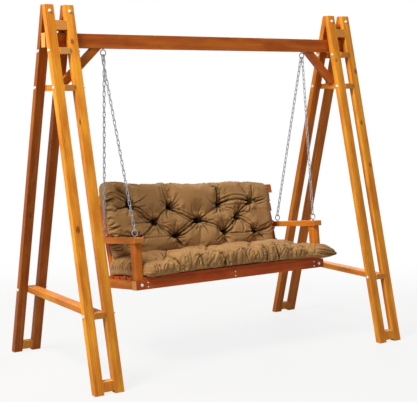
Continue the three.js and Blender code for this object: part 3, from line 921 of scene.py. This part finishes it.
# u runs along a pad, v across it and w up from its resting side.
# left, right, low, top: its edges; rims: how far each of them rounds in
# slope, peak: rise of the top edge along u, and what its left end rises more
# seam: height of the seam; corners: radii of the lower and of the upper ones
# pull: how far the sides draw in; sag: how far the front drops before the slats
# bulge, wide_top, narrow_low: how far the ends stand out, the upper left end stands out, and the
#     lower right end comes in
# sink, held: depth of a tuft, and the radius that its stitch holds
# folds: from a tuft or a point to a tuft or a point, with a depth in millimetres
SEAT_PAD = {
    "piece": "seat_cushion", "left": -0.611, "right": 0.611, "low": -0.193, "top": 0.193,
    "rims": {"left": 0.030, "right": 0.042, "low": 0.062, "top": 0.028},
    "slope": 0.0, "peak": 0.0, "thick": 0.108, "seam": 0.026, "corners": (0.02, 0.02),
    "pull": 0.012, "sag": 0.014, "bulge": 0.04, "wide_top": 0.0, "narrow_low": 0.0,
    "sink": 0.042, "held": 0.008, "seed": 7,
    "tufts": [(-0.430, -0.085), (-0.135, -0.075), (0.150, -0.085), (0.440, -0.080),
              (-0.290, 0.075), (0.010, 0.080), (0.300, 0.070)],
    "folds": [(0, 4, 9), (4, 1, 9), (1, 5, 8), (5, 2, 9), (2, 6, 8), (6, 3, 9),
              (0, (-0.41, -0.17), 8), (1, (-0.10, -0.16), 8), (2, (0.222, -0.17), 8),
              (3, (0.33, -0.17), 7), (3, (0.50, -0.16), 8),
              ((-0.414, -0.165), (-0.380, -0.265), 20), ((-0.107, -0.155), (-0.065, -0.285), 19),
              ((0.220, -0.165), (0.235, -0.285), 16), ((0.312, -0.165), (0.328, -0.285), 15),
              ((0.388, -0.18), (0.408, -0.255), 11), ((0.500, -0.165), (0.525, -0.250), 11),
              ((-0.515, -0.105), (-0.45, -0.120), 10),
              ((-0.582, -0.235), (-0.560, -0.262), 12), ((-0.53, -0.225), (-0.520, -0.262), 10),
              ((-0.25, -0.19), (-0.235, -0.27), 11), ((0.06, -0.18), (0.085, -0.26), 11),
              (0, (-0.600, -0.05), 8), (3, (0.600, 0.0), 8), (4, (-0.33, 0.2), 7),
              (5, (0.03, 0.2), 7), (6, (0.28, 0.2), 7)],
}
BACK_PAD = {
    "piece": "back_cushion", "left": -0.603, "right": 0.587, "low": -0.214, "top": 0.204,
    "rims": {"left": 0.048, "right": 0.06, "low": 0.028, "top": 0.06},
    "slope": -0.045, "peak": 0.02, "thick": 0.112, "seam": 0.036, "corners": (0.010, 0.045),
    "pull": 0.008, "sag": 0.0, "bulge": 0.0, "wide_top": 0.016, "narrow_low": 0.036,
    "sink": 0.068, "held": 0.008, "seed": 11,
    "tufts": [(-0.464, 0.087), (-0.195, 0.062), (0.159, 0.056), (0.399, 0.053),
              (-0.318, -0.023), (-0.010, -0.034), (0.283, -0.031),
              (-0.474, -0.114), (-0.181, -0.121), (0.166, -0.125), (0.397, -0.138)],
    "folds": [(0, 4, 15), (1, 5, 15), (4, 8, 12), (8, 5, 13), (5, 9, 13), (6, 10, 14), (2, 3, 12),
              (1, 4, 9), (2, 5, 7), (9, 6, 11), (3, 6, 10), (7, 4, 8), (7, 8, 5), (9, 10, 6),
              (0, (-0.535, 0.225), 13), (0, (-0.495, 0.215), 10), (0, (-0.62, 0.105), 9),
              (0, (-0.60, 0.16), 8), (0, (-0.59, 0.205), 8), (0, (-0.61, 0.05), 7),
              (4, (-0.47, 0.02), 6), (4, (-0.52, -0.03), 5),
              (1, (-0.235, 0.215), 15), (2, (0.125, 0.205), 14), (3, (0.335, 0.195), 12),
              (3, (0.440, 0.185), 11), (3, (0.56, 0.075), 10), (10, (0.585, -0.09), 11),
              (8, (-0.15, -0.23), 10), (9, (0.185, -0.23), 10), (10, (0.47, -0.23), 12),
              (10, (0.41, -0.23), 9), (7, (-0.50, -0.23), 8), (7, (-0.62, -0.10), 8)],
}
BACK_LOW, BACK_HIGH = 0.094, 0.506
BACK_MIDDLE = -0.022
SEAT_PLACE = Vector((-0.001, -0.123, GAP))

# the seat cushion's pointed corner: its axis, and its radius at shares of the way along
EAR_FROM = Vector((0.540, -0.276, 0.052))
EAR_TO = Vector((0.702, -0.392, 0.015))
EAR_RADII = ((0, 0), (0.06, 0.034), (0.3, 0.046), (0.6, 0.042), (0.84, 0.026), (0.97, 0.009),
             (1, 0))

# what the cushions press against, in the bench's frame
CONTACT = ((-0.045, 0.117), (0.085, 0.088))  # y and z of two points of the line between them
CONTACT_GAP = 0.0008
ARM_LEVELS = 0.17, 0.246  # between them the back cushion passes between the armrests
BACK_REACH, ARM_PRESS = 0.6325, 0.0175
SEAT_REACH, POST_PRESS = 0.658, 0.037
POST_SIDES = 0.6215, 0.668
POST_Y = ARM_EYE_Y["front"]
POST_FRONT = -0.2835
SLAT_FRONT = -0.2915

SKIN_CELLS = 150, 54, 8
STUFFING_FRAMES = 20


def back_turn():
    """The back cushion's frame in the bench's frame: w looks to the front, v up the slats."""
    middle = (BACK_LOW + BACK_HIGH) / 2
    line = BACK_LINE + BACK_RAKE * middle - BACK_SLAT_THICK - 2 * GAP
    turn = Matrix.Rotation(math.pi / 2 - math.atan(BACK_RAKE), 4, "X")
    return Matrix.Translation((BACK_MIDDLE, line, middle)) @ turn


def smooth(t):
    """0 below 0, 1 above 1, smooth between."""
    t = np.clip(t, 0, 1)
    return t * t * (3 - 2 * t)


def side_grid(nu, nv, nw):
    """The skin of a box of cells, its corners from -1 to 1."""
    counts = nu, nv, nw
    points, faces, index = [], [], {}

    def vertex(*key):
        if key not in index:
            index[key] = len(points)
            points.append([2 * k / n - 1 for k, n in zip(key, counts)])
        return index[key]

    for axis, other in ((0, 1), (0, 2), (1, 2)):
        for level in (0, counts[3 - axis - other]):
            for i, j in np.ndindex(counts[axis], counts[other]):
                corners = []
                for di, dj in ((0, 0), (1, 0), (1, 1), (0, 1)):
                    key = [level] * 3
                    key[axis], key[other] = i + di, j + dj
                    corners.append(vertex(*key))
                faces.append(tuple(corners))
    return np.array(points), faces


def pad_form(pad):
    """The stuffed pad before it is blown up: flat on w = 0, crowned, its tufts already low."""
    points, faces = side_grid(*SKIN_CELLS)
    a, b, c = points.T
    # cells crowd toward the edges
    a, b = [t * 0.55 + np.sin(t * math.pi / 2) * 0.45 for t in (a, b)]
    # the outline with its round corners
    half = np.array([pad["right"] - pad["left"], pad["top"] - pad["low"]]) / 2
    centre = np.array([pad["right"] + pad["left"], pad["top"] + pad["low"]]) / 2
    reach = np.abs(np.stack([a, b])) * half[:, None]
    corner = np.where(b < 0, *pad["corners"])
    inner = np.maximum(0, reach - half[:, None] + corner)
    shrink = inner.max(0) / np.maximum(np.hypot(*inner), 1e-9)
    reach = np.where((inner > 0).all(0), reach - inner * (1 - shrink), reach)
    u, v = reach * np.sign([a, b])
    # the crown, which falls toward the rims
    rims = pad["rims"]
    edges = []
    for t, way, low, high in ((u, half[0], "left", "right"), (v, half[1], "low", "top")):
        rim = np.where(t < 0, rims[low], rims[high])
        edges.append(np.clip(1 - (way - np.abs(t)) / rim, 0, 1))
    crown = np.sqrt(np.maximum(0, 1 - np.minimum(1, np.hypot(*edges)) ** 2.2))
    full = 0.14 + 0.86 * crown
    # the sides draw in, the ends stand out or come in, and the top edge slopes
    u = u + centre[0] - np.sign(a) * smooth(np.abs(a) * 3 - 2) * pad["pull"] * (1 - b * b)
    bulge = pad["bulge"] * smooth(np.abs(a) * 9 - 8) * smooth((v + 0.115) / 0.05) \
        * smooth((0.23 - v) / 0.05)
    u = u - pad["wide_top"] * smooth(-a) * smooth((v + 0.1) / 0.25)
    u = u + np.sign(a) * bulge - pad["narrow_low"] * smooth(a * 2 - 1) * smooth((0.17 - v) / 0.3)
    v = v + centre[1] - np.sign(b) * smooth(np.abs(b) * 3 - 2) * pad["pull"] * (1 - a ** 4)
    v = v + (pad["slope"] * u + pad["peak"] * smooth((-0.4 - u) / 0.2)) * (b + 1) / 2
    # the thickness, the slack of the front and the tufts
    lift = np.where(c > 0, pad["thick"] - pad["seam"], pad["seam"])
    w = pad["seam"] + c * lift * full
    w = w - np.where(c < 0, pad["sag"] * smooth((-0.168 - v) / 0.012), 0)
    for tu, tv in pad["tufts"]:
        d = np.hypot(u - tu, v - tv)
        dent = 0.35 * np.exp(-d / 0.016) + 0.65 * np.exp(-(d / 0.052) ** 1.3)
        w = w - np.where(c > 0, pad["sink"] * dent * full, 0)
    return np.stack([u, v, w], 1), faces


def ear_form():
    """The seat cushion's front right corner, a full point."""
    axis = EAR_TO - EAR_FROM
    profile = [(radius, t * axis.length) for t, radius in EAR_RADII]
    turn = axis.to_track_quat("Z", "Y").to_matrix().to_4x4()
    return placed(turned(profile, 32), Matrix.Translation(EAR_FROM - SEAT_PLACE) @ turn)


def bake_modifiers(piece):
    """Makes what a piece's modifiers show its own mesh."""
    shown = piece.evaluated_get(bpy.context.evaluated_depsgraph_get())
    mesh = bpy.data.meshes.new_from_object(shown)
    old = piece.data
    piece.modifiers.clear()
    piece.data = mesh
    bpy.data.meshes.remove(old)


def points_of(mesh, what="co"):
    """A mesh's points, or what else of them is named, in rows of three."""
    flat = np.empty(len(mesh.vertices) * 3)
    mesh.vertices.foreach_get(what, flat)
    return flat.reshape(-1, 3)


def move_points(mesh, points):
    """Puts a mesh's points at these places."""
    mesh.vertices.foreach_set("co", points.ravel())
    mesh.update()


def inflate(piece, pad, cloth):
    """Blows the cloth up with its tufts and its resting side held, and caps how far it moves."""
    start = points_of(piece.data)
    held = start[:, 2] < 0.004  # the resting side
    for tu, tv in pad["tufts"]:
        held |= (np.hypot(start[:, 0] - tu, start[:, 1] - tv) < pad["held"])
    group = piece.vertex_groups.new(name="held")
    group.add([int(i) for i in np.flatnonzero(held)], 1.0, "REPLACE")
    sim = piece.modifiers.new("stuffing", "CLOTH")
    rule = sim.settings
    rule.quality = 6
    rule.mass = 0.2
    rule.tension_stiffness = rule.compression_stiffness = 18
    rule.shear_stiffness = 6
    rule.bending_stiffness = cloth.stiffness
    rule.use_pressure = True
    rule.uniform_pressure_force = cloth.pressure
    rule.shrink_min = -cloth.fullness
    rule.effector_weights.gravity = 0
    rule.vertex_group_mass = "held"
    sim.collision_settings.use_collision = False
    sim.collision_settings.use_self_collision = False
    sim.point_cache.frame_start, sim.point_cache.frame_end = 1, STUFFING_FRAMES
    for number in range(1, STUFFING_FRAMES + 1):
        bpy.context.scene.frame_set(number)
    bake_modifiers(piece)
    bpy.context.scene.frame_set(1)
    moved = points_of(piece.data) - start
    far = np.linalg.norm(moved, axis=1)
    moved *= np.minimum(1, cloth.swell / np.maximum(far, 1e-9))[:, None]
    points = start + moved
    points[:, 2] = np.maximum(points[:, 2], np.minimum(start[:, 2], 0.0006))  # stays above it
    move_points(piece.data, points)


def fold_profile(t):
    """Across a fold: 1 in its bottom, a soft ridge on each side, 0 far off."""
    return np.exp(-1.7 * t) - 0.36 * np.exp(-((t - 1.6) / 0.75) ** 2)


class Creases:
    """How deep each point of a pad is drawn in by the folds that are laid over it. The sides are
    rolled out flat beside the face, so that a fold can run on over an edge."""

    def __init__(self, pad, points):
        u, v, w = points.T
        drop = pad["thick"] - w
        middle = (pad["left"] + pad["right"]) / 2
        half = (pad["right"] - pad["left"]) / 2
        self.u = u + np.sign(u - middle) * drop * smooth((np.abs(u - middle) - half + 0.07) / 0.05)
        self.v = v + np.sign(v) * drop * smooth((np.abs(v) - pad["top"] + 0.07) / 0.05)
        self.depth = np.zeros(len(points))
        # painted shade down in the folds and painted highlight on their ridges
        self.shade, self.ridge = np.zeros((2, len(points)))

    def fold(self, start, end, deep, wide, bow=0.0, both=False, shade=0.0):
        """A fold that is deepest at its start, or at both its ends, and bows to one side; with
        shade it also gets painted shade down its middle and a painted highlight beside it.
        """
        start, end = np.array(start), np.array(end)
        run = end - start
        low, high = np.minimum(start, end) - 0.05, np.maximum(start, end) + 0.05
        near = np.flatnonzero((self.u > low[0]) & (self.u < high[0])
                              & (self.v > low[1]) & (self.v < high[1]))
        place = np.stack([self.u[near], self.v[near]], 1)
        side = np.array([-run[1], run[0]]) * bow
        legs = 8
        steps = np.linspace(0, 1, legs + 1)
        path = start + np.outer(steps, run) + np.outer(4 * steps * (1 - steps), side)
        best, along = np.full(len(near), 1.0), np.zeros(len(near))
        for k in range(legs):
            leg = path[k + 1] - path[k]
            t = np.clip(((place - path[k]) @ leg) / (leg @ leg), 0, 1)
            off = np.linalg.norm(place - path[k] - t[:, None] * leg, axis=1)
            closer = off < best
            best = np.where(closer, off, best)
            along = np.where(closer, (k + t) / legs, along)
        if both:
            strength = 0.45 + 0.55 * np.abs(2 * along - 1) ** 1.5
            spread = wide * (1.35 - 0.35 * np.abs(2 * along - 1))
        else:
            strength = (1 - along) ** 0.6 * smooth(along * 9 + 0.35)
            spread = wide * (0.75 + 0.75 * along)
        self.depth[near] += deep * strength * fold_profile(best / spread)
        # painted shade along the fold's bottom and painted highlight on the ridges beside it
        if shade:
            painted_light_amount = shade * np.minimum(1, strength * 1.5)
            dark, light = [painted_light_amount * np.exp(-((best / spread - off) / 0.8) ** 2) for off in (0, 1.9)]
            self.shade[near] = np.maximum(self.shade[near], dark)
            self.ridge[near] = np.maximum(self.ridge[near], light)


def fold_pad(creases, pad, some):
    """The pad's own folds, each in a broad hollow, the deep ones with a lesser one on each side."""
    for *places, deep in pad["folds"]:
        both = isinstance(places[1], int) or deep > 12
        bow = some(-0.12, 0.12)
        places = [pad["tufts"][place] if isinstance(place, int) else place for place in places]
        # how much painted shade the fold and the hollow about it get, by its depth
        dark = min(1, deep / 11)
        creases.fold(*places, deep * 0.0012, 0.023, bow, both, dark * 0.3)
        creases.fold(*places, deep * 0.0011, 0.0056, bow, both, dark)
        if deep > 9:
            aside = np.array([some(-0.014, 0.014), some(0.008, 0.016)])
            for way in (1, -1):
                beside = [np.array(place) + way * aside for place in places]
                creases.fold(*beside, deep * 0.0006, 0.0048, bow + way * 0.06, both, 0.7)


def fold_tufts(creases, pad, some):
    """Short folds that run out from every tuft."""
    count = 12
    for u, v in pad["tufts"]:
        for k in range(count):
            way = 2 * math.pi * (k + some(-0.35, 0.35)) / count
            reaches = 0.005, some(0.035, 0.12)
            start, end = [(u + far * math.cos(way), v + far * math.sin(way)) for far in reaches]
            # the last number is painted shade down each short fold
            creases.fold(start, end, some(0.006, 0.012), some(0.0045, 0.0065), some(-0.25, 0.25),
                         shade=some(0.35, 0.8))


def fold_edges(creases, pad, some):
    """Gathers over the seams, close together at the ends and further apart at front and rear."""
    rise = pad["thick"] - pad["seam"] + 0.01
    for edge, way in (("left", -1), ("right", 1)):
        spot = pad["low"] + 0.02
        while spot < pad["top"]:
            start = pad[edge] + way * (rise + 0.7 * pad["bulge"]), spot
            end = pad[edge] - way * some(-0.03, 0.06), spot + some(-0.03, 0.03)
            deep = some(0.006, 0.012) if way < 0 else some(0.003, 0.007)
            # painted shade down each gather, the deeper ones darker
            creases.fold(start, end, deep, some(0.005, 0.008), some(-0.2, 0.2),
                         shade=min(0.9, deep * 100))
            spot += some(0.013, 0.028)
    for edge, way, closeness in (("low", -1, 0.032), ("top", 1, 0.05)):
        spot = pad["left"] + 0.02
        while spot < pad["right"]:
            start = spot, pad[edge] + way * rise
            end = spot + some(-0.03, 0.06), pad[edge] - way * some(-0.045, 0.02)
            # the last number is painted shade down each gather
            creases.fold(start, end, some(0.003, 0.008), some(0.006, 0.010), some(-0.2, 0.2),
                         shade=some(0.1, 0.45))
            spot += closeness * some(0.6, 1.6)


def fold_front(creases, pad, some):
    """Slack wrinkles on the front that hangs over the slats."""
    for _ in range(42):
        spot = some(pad["left"], pad["right"]), pad["low"] - some(-0.02, 0.06)
        lean, run = some(-0.4, 0.9), some(0.035, 0.085)
        end = spot[0] - run * math.sin(lean), spot[1] - run * math.cos(lean)
        # the last number is painted shade down the wrinkle
        creases.fold(spot, end, some(0.004, 0.009), some(0.0045, 0.0075), some(-0.3, 0.3),
                     some(0, 1) < 0.4, some(0.1, 0.45))


def lay_folds(pad, points):
    """All the folds of one pad, its seam and the pits of its tufts.
    Gives how far in each point goes, and its painted light: 1 for painted shade down in a fold or a
    tuft's pit, -1 for a painted highlight on a fold's ridge."""
    some = np.random.default_rng(pad["seed"]).uniform
    creases = Creases(pad, points)
    fold_pad(creases, pad, some)
    fold_tufts(creases, pad, some)
    fold_edges(creases, pad, some)
    if pad["sag"]:
        fold_front(creases, pad, some)
    u, v, w = points.T
    groove = np.clip(1 - np.abs(w - pad["seam"]) / 0.005, 0, 1)
    rim = smooth((np.maximum(np.abs(u) - pad["right"], np.abs(v) - pad["top"]) + 0.03) / 0.02)
    resting = smooth((w - 0.002) / 0.016)
    for tu, tv in pad["tufts"]:
        off = np.hypot(u - tu, v - tv)
        # painted shade in and around the pit of each tuft
        painted_pit_shade = np.maximum(np.exp(-(off / 0.0085) ** 2), 0.42 * np.exp(-(off / 0.034) ** 1.5))
        creases.shade = np.maximum(creases.shade, painted_pit_shade)
    # painted highlight on the ridges is taken off where painted shade lies; neither reaches the
    # resting side
    shade = creases.shade - creases.ridge * (1 - np.minimum(1, creases.shade * 2))
    return creases.depth * resting + 0.002 * groove * rim, shade * resting


def ear_folds(points):
    """Pleats that gather towards the point of the seat cushion's corner, with painted shade down
    each pleat and on the tip.
    """
    some = np.random.default_rng(23).uniform
    start, end = [np.array(v - SEAT_PLACE) for v in (EAR_FROM, EAR_TO)]
    axis = end - start
    along = (points - start) @ axis / (axis @ axis)
    out = points - start - along[:, None] * axis
    first = np.cross(axis, (0, 0, 1))
    first /= np.linalg.norm(first)
    angle = np.arctan2(out @ np.cross(axis / np.linalg.norm(axis), first), out @ first)
    radius = np.linalg.norm(out, axis=1)
    depth, shade = np.zeros((2, len(points)))
    count = 15
    for k in range(count):
        way = 2 * math.pi * (k + some(-0.3, 0.3)) / count
        turn = angle - way - some(-1, 1) * (along - 0.6)
        off = np.abs(np.angle(np.exp(1j * turn))) * radius
        deep = some(0.0035, 0.007)
        depth += deep * fold_profile(off / 0.006)
        # painted shade down each pleat
        shade = np.maximum(shade, deep / 0.008 * np.exp(-(off / 0.005) ** 2))
    window = smooth((along - 0.3) / 0.25) * smooth((1.0 - along) / 0.15)
    window *= (radius < 0.07) & (points[:, 2] > 0.003)
    # painted shade on the tip of the point
    painted_tip_shade = 0.5 * smooth((along - 0.88) / 0.1) * (radius < 0.03)
    return depth * window, np.maximum(shade * window, painted_tip_shade)


def press_in(points, name):
    """Presses a cushion's points, in the bench's frame, clear of what it lies against."""
    x, y, z = points.T
    (y0, z0), (y1, z1) = CONTACT
    level = z0 + (z1 - z0) * (y - y0) / (y1 - y0)
    if name == "back_cushion":
        resting = (z < level + CONTACT_GAP) & (z < 0.19)
        z = np.where(resting, level + CONTACT_GAP, z)
        beside_arm = smooth((z - ARM_LEVELS[0]) / 0.018) * smooth((ARM_LEVELS[1] - z) / 0.018)
        limit = BACK_REACH + 0.07 * np.maximum(0, z - 0.27) - ARM_PRESS * beside_arm
        x = np.clip(x, -limit, limit)
    else:
        z = np.where((z > level - CONTACT_GAP) & (y > -0.06), level - CONTACT_GAP, z)
        beside_post = smooth((-0.215 - y) / 0.012) * (np.abs(y - POST_Y) < 0.03)
        limit = np.where(y < POST_FRONT + 0.001, 1.0, SEAT_REACH - POST_PRESS * beside_post)
        x = np.clip(x, -limit, limit)
        at_post = (x > POST_SIDES[0]) & (x < POST_SIDES[1]) & (y > POST_FRONT) & (y < POST_Y)
        y = np.where(at_post, POST_FRONT, y)
        z = np.where((y > SLAT_FRONT) & (z < GAP), GAP, z)
    return np.stack([x, y, z], 1)


def cushion_cloth(cloth, turn):
    """Woven cotton with painted shade down in its folds and painted highlights on their ridges, its
    threads laid along the pad.
    """
    if "Plain Weave" not in bpy.data.node_groups:
        plain_weave()
    name = "cushion_canvas_%d" % round(math.degrees(turn.x))
    made, w, shader = material(
        name, cloth.cloth, Roughness=0.8, Sheen_Weight=0.09, Sheen_Roughness=0.4,
        Specular_IOR_Level=0.2)
    skin = w.group(bpy.data.node_groups["Plain Weave"], {
        "Turn": turn, "Threads": 1 / cloth.thread})
    here = w.add("ShaderNodeTexCoord", out="Object")
    faded = w.step(w.noise(here, 7.0, 4.0, 0.6), 0.3, 0.7)
    tone = w.mix(w.math("MULTIPLY", skin["Gaps"], 0.7), rgba(cloth.cloth), rgba(cloth.shade))
    tone = w.mix(w.math("MULTIPLY", skin["Slub"], 0.25), tone, rgba(cloth.shade))
    tone = w.mix(w.math("MULTIPLY", faded, 0.16), tone,
                 w.times(tone, 1.22, 1.2, 1.15))
    # painted light carried by the points: above 0 painted shade, below 0 painted highlight
    folded = w.add("ShaderNodeAttribute", attribute_name="painted_fold_light", out="Fac")
    # painted highlight on the ridges beside the folds
    tone = w.mix(w.math("MULTIPLY", folded, -0.55), tone,
                 w.times(tone, 1.38, 1.6, 1.8))
    # painted shade down in the folds, the pleats and the tufts' pits
    tone = w.mix(w.math("MULTIPLY", folded, 0.93), tone, rgba(cloth.fold_shade))
    bump = w.add("ShaderNodeBump", {"Strength": 0.5, "Distance": 0.0006, "Height": skin["Height"]})
    w.feed(shader, {"Base Color": tone, "Normal": bump})
    return made


def make_cushion(cloth, pad, local, extra=()):
    """A cushion from its pad: remeshed evenly, inflated, folded and laid in its place."""
    piece = mesh_object("stuffed_" + pad["piece"], joined([pad_form(pad), *extra]))
    even = piece.modifiers.new("even cells", "REMESH")
    even.mode = "VOXEL"
    even.voxel_size = cloth.voxel
    bake_modifiers(piece)
    inflate(piece, pad, cloth)
    finer = piece.modifiers.new("finer cells", "SUBSURF")
    finer.levels = finer.render_levels = 1
    bake_modifiers(piece)
    mesh = piece.data
    points, normals = points_of(mesh), points_of(mesh, "normal")
    depth, shade = lay_folds(pad, points)
    if extra:
        pleats, painted_pleat_shade = ear_folds(points)
        depth, shade = depth + pleats, np.maximum(shade, painted_pleat_shade)
    points = points - normals * depth[:, None]
    # the painted shade and painted highlight of the folds, kept on the points for the cloth's
    # colour
    mesh.attributes.new("painted_fold_light", "FLOAT", "POINT").data.foreach_set("value", shade)
    points, _ = placed((points, None), local)
    move_points(mesh, press_in(points, pad["piece"]))
    mesh.transform(BENCH_FRAME)
    mesh.polygons.foreach_set("use_smooth", [True] * len(mesh.polygons))
    mesh.materials.clear()
    mesh.materials.append(cushion_cloth(cloth, (BENCH_FRAME @ local).to_euler()))
    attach(piece, BENCH)
    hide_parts(pad["piece"])


class SWING_OT_add_cushions(bpy.types.Operator):
    """Make the seat cushion and the back cushion, both tufted"""

    bl_idname = "swing.add_cushions"
    bl_label = "Add Cushions"

    def execute(self, context):
        cloth = context.scene.swing_cushions
        make_cushion(cloth, BACK_PAD, back_turn())
        make_cushion(cloth, SEAT_PAD, Matrix.Translation(SEAT_PLACE), [ear_form()])
        return {"FINISHED"}


# ---------------------------------------------------------------- stage

PICTURE = (417, 402)
SENSOR = 36.0
FLOOR_HALF = 14.0
FLOOR_NEAR = 0.84  # how white the floor is seen near the swing; further off it is wholly white
FLOOR_FADE = 1.6, 3.6  # distances between which it turns white
AIM = Vector((0, 0, 1))  # the lamps look at the middle of the swing
LAMP_AWAY = 7


def set_camera(stage):
    """The camera of the photograph, from its place, its turns and its focal length in pixels."""
    lens = bpy.data.cameras.new("picture_camera")
    lens.sensor_width = SENSOR
    lens.lens = stage.focal * SENSOR / PICTURE[0]
    lens.shift_x = (PICTURE[0] / 2 - stage.centre[0]) / PICTURE[0]
    lens.shift_y = (stage.centre[1] - PICTURE[1] / 2) / PICTURE[0]
    camera = bpy.data.objects.new("picture_camera", lens)
    bpy.context.collection.objects.link(camera)
    yaw, pitch = stage.heading, stage.pitch
    level = math.cos(pitch)
    ahead = Vector((math.sin(yaw) * level, math.cos(yaw) * level, math.sin(pitch)))
    right = Vector((math.cos(yaw), -math.sin(yaw), 0))
    above = right.cross(ahead)
    turned_right = right * math.cos(stage.roll) + above * math.sin(stage.roll)
    turned_up = above * math.cos(stage.roll) - right * math.sin(stage.roll)
    place = Matrix((turned_right, turned_up, -ahead)).transposed().to_4x4()
    place.translation = stage.place
    camera.matrix_world = place
    bpy.context.scene.camera = camera


def set_floor(stage):
    """The floor, which keeps the swing's shadow and fades to white with distance."""
    mesh = bpy.data.meshes.new("floor")
    made = bmesh.new()
    bmesh.ops.create_grid(made, x_segments=2, y_segments=2, size=FLOOR_HALF)
    made.to_mesh(mesh)
    made.free()
    floor = bpy.data.objects.new("floor", mesh)
    bpy.context.collection.objects.link(floor)
    finish, w, shader = material("floor", stage.floor, Roughness=0.9, Specular_IOR_Level=0.1)
    here = w.add("ShaderNodeTexCoord", out="Object")
    x, y, _ = w.parts(here)
    far = w.math("SQRT", w.math("ADD", w.math("MULTIPLY", x, x), w.math("MULTIPLY", y, y)))
    dusty = w.times(rgba(stage.floor), 0.985, 0.985, 0.985)
    grey = w.mix(w.noise(here, 3.0, 4.0), rgba(stage.floor), dusty)
    w.feed(shader, {"Base Color": grey})
    glow = w.add("ShaderNodeEmission", ((1, 1, 1, 1), 1.0))
    path = w.add("ShaderNodeLightPath").node.outputs
    mirrored = w.math("MAXIMUM", path["Is Glossy Ray"], path["Is Transmission Ray"])
    whiter = w.math("MULTIPLY", 1 - FLOOR_NEAR, w.step(far, *FLOOR_FADE))
    fade = w.math("MULTIPLY", path["Is Camera Ray"], w.math("ADD", FLOOR_NEAR, whiter))
    fade = w.math("MAXIMUM", fade, mirrored)
    mixed = w.add("ShaderNodeMixShader", (fade, shader.outputs[0], glow))
    w.feed(finish.node_tree.nodes["Material Output"], {"Surface": mixed})
    mesh.materials.append(finish)


def lamp(name, direction, size, power, tint):
    """A round lamp that looks at the swing from a direction."""
    light = bpy.data.lights.new(name, "AREA")
    light.shape = "DISK"
    light.size = size
    light.energy = power
    light.color = tint
    spot = bpy.data.objects.new(name, light)
    bpy.context.collection.objects.link(spot)
    away = Vector(direction).normalized() * LAMP_AWAY
    spot.matrix_world = facing(away + AIM, away)


def set_world(stage):
    """An even pale sky that lights the swing, and plain white where it is seen or mirrored."""
    world = bpy.data.worlds.new("studio")
    world.use_nodes = True
    bpy.context.scene.world = world
    w = Wiring(world.node_tree)
    path = w.add("ShaderNodeLightPath").node.outputs
    seen = w.math("MAXIMUM", path["Is Camera Ray"], path["Is Glossy Ray"])
    seen = w.math("MAXIMUM", seen, path["Is Transmission Ray"])
    sky = w.add("ShaderNodeBackground", ((1, 0.99, 0.98, 1), stage.fill))
    white = w.add("ShaderNodeBackground", ((1, 1, 1, 1), 1.0))
    mixed = w.add("ShaderNodeMixShader", (seen, sky, white))
    w.feed(world.node_tree.nodes["World Output"], {"Surface": mixed})


class SWING_OT_set_stage(bpy.types.Operator):
    """Set the camera, the lamps, the floor and the backdrop"""

    bl_idname = "swing.set_stage"
    bl_label = "Set Stage"

    def execute(self, context):
        stage = context.scene.swing_stage
        context.scene.view_settings.view_transform = "Standard"
        set_camera(stage)
        set_floor(stage)
        set_world(stage)
        lamp("key", (-0.62, -0.15, 0.77), 2.7, stage.key * 400, (1, 0.97, 0.93))
        lamp("back", (0.62, 0.62, 0.5), 3.0, stage.key * 130, (0.97, 0.98, 1))
        return {"FINISHED"}


class SWING_PT_dressing(bpy.types.Panel):
    """Steps and settings of the swing's dressing"""

    bl_idname = "SWING_PT_dressing"
    bl_label = "Garden Swing"
    bl_space_type = "VIEW_3D"
    bl_region_type = "UI"
    bl_category = "Swing"

    def draw(self, context):
        for step in STEPS:
            self.layout.operator(step.bl_idname)
        for name, group in SETTINGS.items():
            box = self.layout.box()
            box.label(text=group.__doc__.rstrip("."))
            for key in group.__annotations__:
                box.prop(getattr(context.scene, name), key)


SETTINGS = {"swing_timber": SwingTimber, "swing_iron": SwingIron,
            "swing_cushions": SwingCushions, "swing_stage": SwingStage}
STEPS = (SWING_OT_set_stage, SWING_OT_finish_boards, SWING_OT_add_rings, SWING_OT_add_chains,
         SWING_OT_add_bolts, SWING_OT_add_cushions)


def register():
    for group in (*SETTINGS.values(), *STEPS, SWING_PT_dressing):
        bpy.utils.register_class(group)
    for name, group in SETTINGS.items():
        setattr(bpy.types.Scene, name, bpy.props.PointerProperty(type=group))


def unregister():
    for name in SETTINGS:
        delattr(bpy.types.Scene, name)
    for group in (SWING_PT_dressing, *reversed(STEPS), *reversed(SETTINGS.values())):
        bpy.utils.unregister_class(group)


def main():
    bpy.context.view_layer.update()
    register()
    bpy.ops.swing.set_stage()
    bpy.ops.swing.finish_boards()
    bpy.ops.swing.add_rings()
    bpy.ops.swing.add_chains()
    bpy.ops.swing.add_bolts()
    bpy.ops.swing.add_cushions()


if __name__ == "__main__":
    main()
